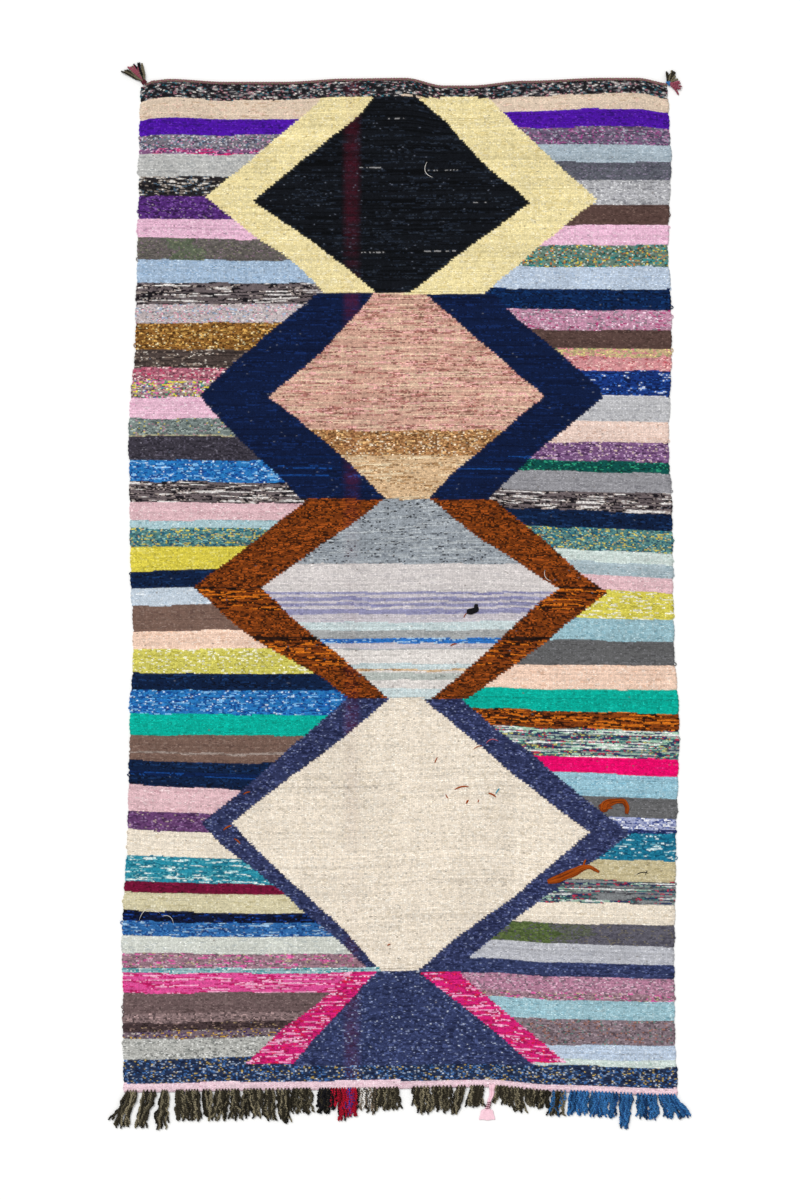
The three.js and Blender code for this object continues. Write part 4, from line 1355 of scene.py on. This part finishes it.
class RUG_OT_tassels(bpy.types.Operator):
    """Tie a tassel at each top corner"""

    bl_idname = "rug.tassels"
    bl_label = "Corner tassels"

    rings = 20
    strands = 5

    def execute(self, context):
        """Yarns leave a knot as one stem, fan out to their own angles, bend and sink to the floor."""
        settings = context.scene.rug_fringe
        yarn = settings.yarn * 0.8
        share = np.linspace(0, 1, self.rings)
        for node, (side, offset, bound, locks) in TASSELS.items():
            rng = np.random.default_rng(len(node))
            corner = SELVEDGES[side][0]
            start = np.array([corner + offset[0] + SHIFT_X, rug_y(corner, 0.0) + offset[1]])
            paths, colours = [], []
            heading = sum(angle for angle, _, _ in locks) / len(locks)
            for angle, length, name in locks:
                for strand in range(self.strands):
                    bend = rng.normal(0, 9)
                    spread = (angle - heading + rng.normal(0, 4)) * ease(share / 0.45)
                    turned = np.radians(heading + spread + bend * share**2)
                    way = length * rng.uniform(0.82, 1.0) * share
                    sway = 1.2 * np.sin(6 * share + strand) * share
                    x = start[0] + way * np.cos(turned) - sway * np.sin(turned)
                    y = start[1] + way * np.sin(turned) + sway * np.cos(turned)
                    z = 2.0 + (1.2 + 1.1 * strand) * np.sin(math.pi * np.clip(share * 0.8 + 0.1, 0, 1))
                    paths.append(np.column_stack([x, y, z]))
                    colours.append(yarn_colour(name) * rng.uniform(0.75, 1.2))
            radii = strand_shape(len(paths), self.rings, yarn, rng)
            tubes = (np.array(paths), radii, np.array(colours))
            piece = put_tubes(f"{node}_yarns", *tubes, "wool", ply=0.2, turn=settings.twist)
            finish_piece(piece, "tassel_yarn", node)
            knot = self.knot(f"{node}_knot", start, math.radians(heading), yarn, bound)
            finish_piece(knot, "tassel_yarn")
        return {"FINISHED"}

    def knot(self, name, start, heading, yarn, bound):
        """Three turns of yarn bound round the root of the locks: a flattened helix about their heading."""
        turn = np.linspace(0, 6 * math.pi, 60)
        along = 3.0 + 1.4 * turn / math.pi
        beside = 5.2 * np.cos(turn)
        x = start[0] + along * math.cos(heading) - beside * math.sin(heading)
        y = start[1] + along * math.sin(heading) + beside * math.cos(heading)
        z = 4.4 + 2.6 * np.sin(turn)
        path = np.column_stack([x, y, z])[None]
        colour = yarn_colour(bound)[None]
        return put_tubes(name, path, np.full((1, 60), yarn / 2), colour, "wool", ply=0.15)


class RUG_OT_fringe(bpy.types.Operator):
    """Knot the fringe through the lower end"""

    bl_idname = "rug.fringe"
    bl_label = "Lower fringe"

    rings = 40

    def execute(self, context):
        """Each group of the fringe is one mesh of its clumps' yarns."""
        settings = context.scene.rug_fringe
        top = context.scene.rug_cloth.thickness + context.scene.rug_cloth.crown + 1.4
        for number, (node, clumps) in enumerate(FRINGES.items()):
            rng = np.random.default_rng(40 + number)
            groups = [self.clump(clump, settings, top, rng) for clump in clumps]
            paths = np.concatenate([paths for paths, _ in groups])
            colours = np.concatenate([colours for _, colours in groups])
            radii = strand_shape(len(paths), self.rings, settings.yarn, rng)
            kind = "acrylic" if node == "fringe_blue" else "wool"
            phase = rng.uniform(0, 6.3, len(paths))
            piece = put_tubes(f"{node}_yarns", paths, radii, colours, kind, 5, 0.3, settings.twist, phase)
            finish_piece(piece, FRINGE_SLOTS[node], node)
        return {"FINISHED"}

    def clump(self, clump, settings, top, rng):
        """Yarns of one clump. Those of a lock start at one knot on the end band, go over its edge and
        fall to the floor within 14 mm, then run to their tips in their own lanes. Each is crinkled by
        smooth chance along its length and curls to one side at its cut end."""
        root, root_span, tip, tip_span, reach, locks, names = clump
        count = locks * settings.strands
        shape = (count, self.rings)
        lane = (np.arange(count) + 0.5) / count - 0.5
        lock = (np.repeat(np.arange(locks), settings.strands) + 0.5) / locks - 0.5
        knots = (root + root_span * lock)[:, None]
        roots = (root + root_span * lane)[:, None]
        tips = (tip + tip_span * np.clip(lane + rng.normal(0, 0.16, count), -0.55, 0.55))[:, None]
        share = np.linspace(0, 1, self.rings)
        reaches = reach * (1 - 0.34 * rng.random((count, 1)) ** 1.5)
        past = share * (reaches + settings.over) - settings.over
        free = ease(share / 0.25)
        curl = 6.0 * rng.normal(0, 1, (count, 1)) * ease((share - 0.7) / 0.3)
        crinkle = settings.crinkle * cloud(shape, (1, 4), rng) + 2.0 * cloud(shape, (1, 9), rng)
        x = knots + (roots - knots) * free + (tips - roots) * ease(share) + (crinkle + curl) * free
        y = rug_y(roots, CLOTH_LENGTH) - past + 1.6 * cloud(shape, (1, 4), rng) * free
        layer = rng.uniform(0.0, 3.6, (count, 1))
        level = settings.yarn / 2 + layer * (0.6 + 0.4 * np.cos(3 * share)) + 1.2 * cloud(shape, (1, 4), rng)
        fallen = ease(past / 14)
        z = top * (1 - fallen) + np.maximum(level, settings.yarn * 0.55) * fallen
        chosen = names.split()
        picked = rng.permutation(np.resize(np.arange(len(chosen)), count))
        colours = np.array([yarn_colour(name) for name in chosen])[picked]
        colours = colours * rng.uniform(0.45, 1.6, (count, 1))
        return np.stack([x + SHIFT_X, y, z], axis=-1), colours


# Rag tail, rag ends and threads


class RUG_OT_rag_tail(bpy.types.Operator):
    """Hang the pink rag tail out of the fringe"""

    bl_idname = "rug.rag_tail"
    bl_label = "Pink rag tail"

    rows, columns = 60, 24
    thickness = 1.3

    def execute(self, context):
        """A strip on a grid: across its width at each station, gathered into two folds whose height
        follows the station's fold, fold (1 - cos(4 pi u)) / 2, thickened upwards."""
        rng = np.random.default_rng(7)
        down = np.linspace(RAG_TAIL["down"][0], RAG_TAIL["down"][-1], self.rows)[:, None]
        u = np.linspace(0, 1, self.columns)
        value = {key: eased(RAG_TAIL, "down", key, down) for key in ("across", "width", "fold")}
        wave = 0.5 - 0.5 * np.cos(4 * math.pi * u + 0.6)
        x = value["across"] + (u - 0.5) * value["width"] + SHIFT_X
        y = rug_y(value["across"], CLOTH_LENGTH) - down + 1.2 * np.sin(9 * u) * ease((down - 70) / 20)
        on_band = (context.scene.rug_cloth.thickness + 1.0) * (1 - ease((down + 2) / 14))
        z = on_band + 1.2 + value["fold"] * wave + 0.25 * cloud((self.rows, self.columns), (6, 6), rng)
        points = np.stack(np.broadcast_arrays(x, y, z), axis=-1)
        number = np.arange(self.rows * self.columns).reshape(self.rows, self.columns)
        corners = [number[:-1, :-1], number[1:, :-1], number[1:, 1:], number[:-1, 1:]]
        faces = np.stack(corners, axis=-1).reshape(-1, 4)
        tone = 1 + 0.04 * rng.normal(0, 1, (points.size // 3, 1))
        colours = yarn_colour("pink_rag") * tone
        cotton = kind_material("rag", woven=False)
        tail = put_mesh("pink_rag_tail", points.reshape(-1, 3), faces, colours, [cotton])
        thick = tail.modifiers.new("Cloth thickness", "SOLIDIFY")
        thick.thickness = self.thickness * MM
        thick.offset = 1.0
        finish_piece(tail, "pink_rag", "rag_tail")
        finish_piece(self.binding(), "olive_brown_yarn")
        return {"FINISHED"}

    def binding(self):
        """A dark yarn wound round the tail's waist: a flattened helix."""
        turn = np.linspace(0, 7 * math.pi, 80)
        down = 40 + 18 * turn / turn[-1]
        across = eased(RAG_TAIL, "down", "across", down)
        wide = eased(RAG_TAIL, "down", "width", down) / 2 + 1.0
        x = across + wide * np.cos(turn) + SHIFT_X
        y = rug_y(across, CLOTH_LENGTH) - down
        z = 4.0 + 3.0 * np.sin(turn)
        path = np.column_stack([x, y, z])[None]
        colour = yarn_colour("wine")[None]
        return put_tubes("rag_tail_binding", path, np.full((1, 80), 1.0), colour, "wool")


def smooth_path(stations, count):
    """Even steps along a chain of stations, eased at each by a running mean."""
    stations = np.array(stations, dtype=float)
    way = np.concatenate([[0], np.linalg.norm(np.diff(stations[:, :2], axis=0), axis=1).cumsum()])
    steps = np.linspace(0, way[-1], count)
    line = np.column_stack([np.interp(steps, way, column) for column in stations.T])
    for _ in range(3):
        line[1:-1] = (line[:-2] + 2 * line[1:-1] + line[2:]) / 4
    return line


class RUG_OT_rag_ends(bpy.types.Operator):
    """Lay the loose rag ends on the face"""

    bl_idname = "rug.rag_ends"
    bl_label = "Loose rag ends"

    rings = 44
    fibres = 30

    def execute(self, context):
        """A flat lump of roving: fibres that follow one path in lanes over its width, heaped in its
        middle by 1 - lane^2, each with its own slow sway."""
        settings = context.scene.rug_cloth
        floor = settings.thickness + settings.crown + 1.2
        share = np.linspace(0, 1, self.rings)
        for node, (names, *stations) in RAG_ENDS.items():
            rng = np.random.default_rng(len(node) + 3)
            line = smooth_path(stations, self.rings)
            way = np.gradient(line[:, :2], axis=0)
            way /= np.linalg.norm(way, axis=1, keepdims=True)
            lane = ((np.arange(self.fibres) + 0.5) / self.fibres - 0.5)[:, None]
            speed = rng.uniform(4, 11, (self.fibres, 1))
            start = rng.uniform(0, 6, (self.fibres, 1))
            offset = line[:, 2] * (lane + 0.12 * np.sin(speed * share + start))
            across = line[:, 0] + offset * way[:, 1]
            down = line[:, 1] - offset * way[:, 0]
            heap = (line[:, 3] - 1.5) * (1 - 4 * lane**2) * rng.uniform(0.5, 1.0, (self.fibres, 1))
            paths = np.stack([across + SHIFT_X, rug_y(across, down), floor + heap], axis=-1)
            radii = strand_shape(self.fibres, self.rings, 2.6, rng, blunt=0.3)
            chosen = np.array([yarn_colour(name) for name in names.split()])
            picked = chosen[rng.integers(0, len(chosen), self.fibres)]
            colours = picked * rng.uniform(0.75, 1.25, (self.fibres, 1))
            piece = put_tubes(f"{node}_roving", paths, radii, colours, "wool")
            finish_piece(piece, RAG_END_SLOTS[node], node)
        return {"FINISHED"}


class RUG_OT_threads(bpy.types.Operator):
    """Scatter the loose threads and selvedge loops"""

    bl_idname = "rug.threads"
    bl_label = "Loose threads"

    rings = 16
    loops = 46

    def execute(self, context):
        """Each thread is a shallow parabola on the face, 1 - 4 t^2 over its length, thinner at its ends."""
        level = context.scene.rug_cloth.thickness + context.scene.rug_cloth.crown + 1.0
        paths, radii, colours = [], [], []
        share = np.linspace(-0.5, 0.5, self.rings)
        for across, down, length, angle, bow, thick, name in THREADS:
            turned = math.radians(angle)
            bent = bow * length * (1 - 4 * share**2)
            x = across + length * share * math.cos(turned) - bent * math.sin(turned)
            y = length * share * math.sin(turned) + bent * math.cos(turned)
            paths.append(np.column_stack([x + SHIFT_X, rug_y(across, down) + y, np.full(self.rings, level)]))
            radii.append(thick / 2 * (1 - 0.7 * (2 * np.abs(share)) ** 3))
            colours.append(yarn_colour(name))
        tubes = (np.array(paths), np.array(radii), np.array(colours))
        piece = put_tubes("loose_threads", *tubes, "wool", sides=5)
        finish_piece(piece, "woven_rag_cloth")
        finish_piece(self.selvedge_loops(), "woven_rag_cloth")
        return {"FINISHED"}

    def selvedge_loops(self):
        """Weft yarns that stand out of the selvedges where they turn: half rounds of a few mm."""
        rng = np.random.default_rng(23)
        turn = np.linspace(-0.5 * math.pi, 0.5 * math.pi, self.rings)
        paths, colours = [], []
        for number in range(self.loops):
            side, outward, bands = (("left", -1, LEFT_BANDS), ("right", 1, RIGHT_BANDS))[number % 2]
            down = rng.uniform(60, CLOTH_LENGTH - 60)
            band = np.searchsorted(band_bounds(bands), down)
            edge = eased(SELVEDGES, "down", side, down)
            out, tall = rng.uniform(3, 7), rng.uniform(3, 6)
            x = edge + outward * (out * np.cos(turn) - 1.5)
            y = rug_y(edge, down) + tall * np.sin(turn)
            z = 2.2 + 0.8 * np.sin(turn * 2)
            paths.append(np.column_stack([x + SHIFT_X, y, z]))
            colours.append(yarn_colour(bands[band][0]))
        radii = np.full((self.loops, self.rings), 1.3)
        return put_tubes("selvedge_loops", np.array(paths), radii, np.array(colours), "wool", sides=5)


# Stage


class RUG_OT_stage(bpy.types.Operator):
    """Set the floor, the soft light and the camera over the rug"""

    bl_idname = "rug.stage"
    bl_label = "Stage"

    floor_half = 40.0
    floor_level = -0.0004

    def execute(self, context):
        """Floor, light and camera in turn."""
        settings = context.scene.rug_stage
        self.floor(settings)
        self.light(context, settings)
        self.camera(context, settings)
        return {"FINISHED"}

    def floor(self, settings):
        """A square of pale paper, just under the rug."""
        half, level = self.floor_half, self.floor_level
        mesh = bpy.data.meshes.new("studio_floor")
        corners = [(-half, -half, level), (half, -half, level), (half, half, level), (-half, half, level)]
        mesh.from_pydata(corners, [], [(0, 1, 2, 3)])
        material = bpy.data.materials.new("studio_paper")
        material.use_nodes = True
        shader = material.node_tree.nodes["Principled BSDF"]
        shader.inputs["Base Color"].default_value = (*settings.floor, 1.0)
        shader.inputs["Roughness"].default_value = 0.9
        mesh.materials.append(material)
        floor = bpy.data.objects.new("studio_floor", mesh)
        bpy.context.scene.collection.objects.link(floor)

    def light(self, context, settings):
        """White light from all round, and a wide key light from one side."""
        world = bpy.data.worlds.new("soft_light")
        world.use_nodes = True
        world.node_tree.nodes["Background"].inputs["Color"].default_value = (1.0, 1.0, 1.0, 1.0)
        world.node_tree.nodes["Background"].inputs["Strength"].default_value = settings.sky
        context.scene.world = world
        key = bpy.data.lights.new("soft_key", "SUN")
        key.energy = settings.sun
        key.angle = math.radians(25)
        lamp = bpy.data.objects.new("soft_key", key)
        lamp.rotation_euler = (math.radians(-32), math.radians(-24), 0)
        context.scene.collection.objects.link(lamp)
        context.scene.view_settings.view_transform = "Standard"
        context.scene.view_settings.look = "None"

    def camera(self, context, settings):
        """Straight above the photograph's centre, as wide as its frame is at the floor."""
        column, row = (size / 2 for size in PHOTO_SIZE)
        across = (column - PHOTO_CENTRE_LINE) * MM_PER_PIXEL + SHIFT_X
        down = (row - PHOTO_TOP_END) * MM_PER_PIXEL
        lens = bpy.data.cameras.new("overhead_camera")
        lens.lens = lens.sensor_width * settings.height / (PHOTO_SIZE[1] * MM_PER_PIXEL * MM)
        lens.clip_end = 200.0
        camera = bpy.data.objects.new("overhead_camera", lens)
        camera.location = (across * MM, (CLOTH_LENGTH / 2 - down + SHIFT_Y) * MM, settings.height)
        context.scene.collection.objects.link(camera)
        context.scene.camera = camera


PIECES = (
    RUG_OT_stage,
    RUG_OT_cloth,
    RUG_OT_plait,
    RUG_OT_tassels,
    RUG_OT_fringe,
    RUG_OT_rag_tail,
    RUG_OT_rag_ends,
    RUG_OT_threads,
)
GROUPS = {
    "rug_cloth": RUG_PG_cloth,
    "rug_fringe": RUG_PG_fringe,
    "rug_stage": RUG_PG_stage,
    "rug_yarns": RUG_PG_yarns,
}


class RUG_PT_pieces(bpy.types.Panel):
    """The rug's pieces, in the order in which they are made"""

    bl_idname = "RUG_PT_pieces"
    bl_label = "Boucherouite rug"
    bl_space_type = "VIEW_3D"
    bl_region_type = "UI"
    bl_category = "Rug"

    def draw(self, context):
        """A button for each piece, and a box with each group of settings."""
        for piece in PIECES:
            self.layout.operator(piece.bl_idname)
        for name, group in GROUPS.items():
            box = self.layout.box()
            for key in group.__annotations__:
                box.prop(getattr(context.scene, name), key)


def register():
    """Makes the settings, the operators and the panel known to Blender."""
    for group in GROUPS.values():
        bpy.utils.register_class(group)
    for name, group in GROUPS.items():
        setattr(bpy.types.Scene, name, PointerProperty(type=group))
    for piece in PIECES:
        bpy.utils.register_class(piece)
    bpy.utils.register_class(RUG_PT_pieces)


def unregister():
    """Takes them away again, in the opposite order."""
    bpy.utils.unregister_class(RUG_PT_pieces)
    for piece in reversed(PIECES):
        bpy.utils.unregister_class(piece)
    for name, group in reversed(GROUPS.items()):
        delattr(bpy.types.Scene, name)
        bpy.utils.unregister_class(group)


def main():
    """Makes every piece in order and writes the sizes of the packed part and of the dressed one."""
    register()
    for piece in PIECES:
        kind, name = piece.bl_idname.split(".")
        getattr(getattr(bpy.ops, kind), name)()


if __name__ == "__main__":
    main()
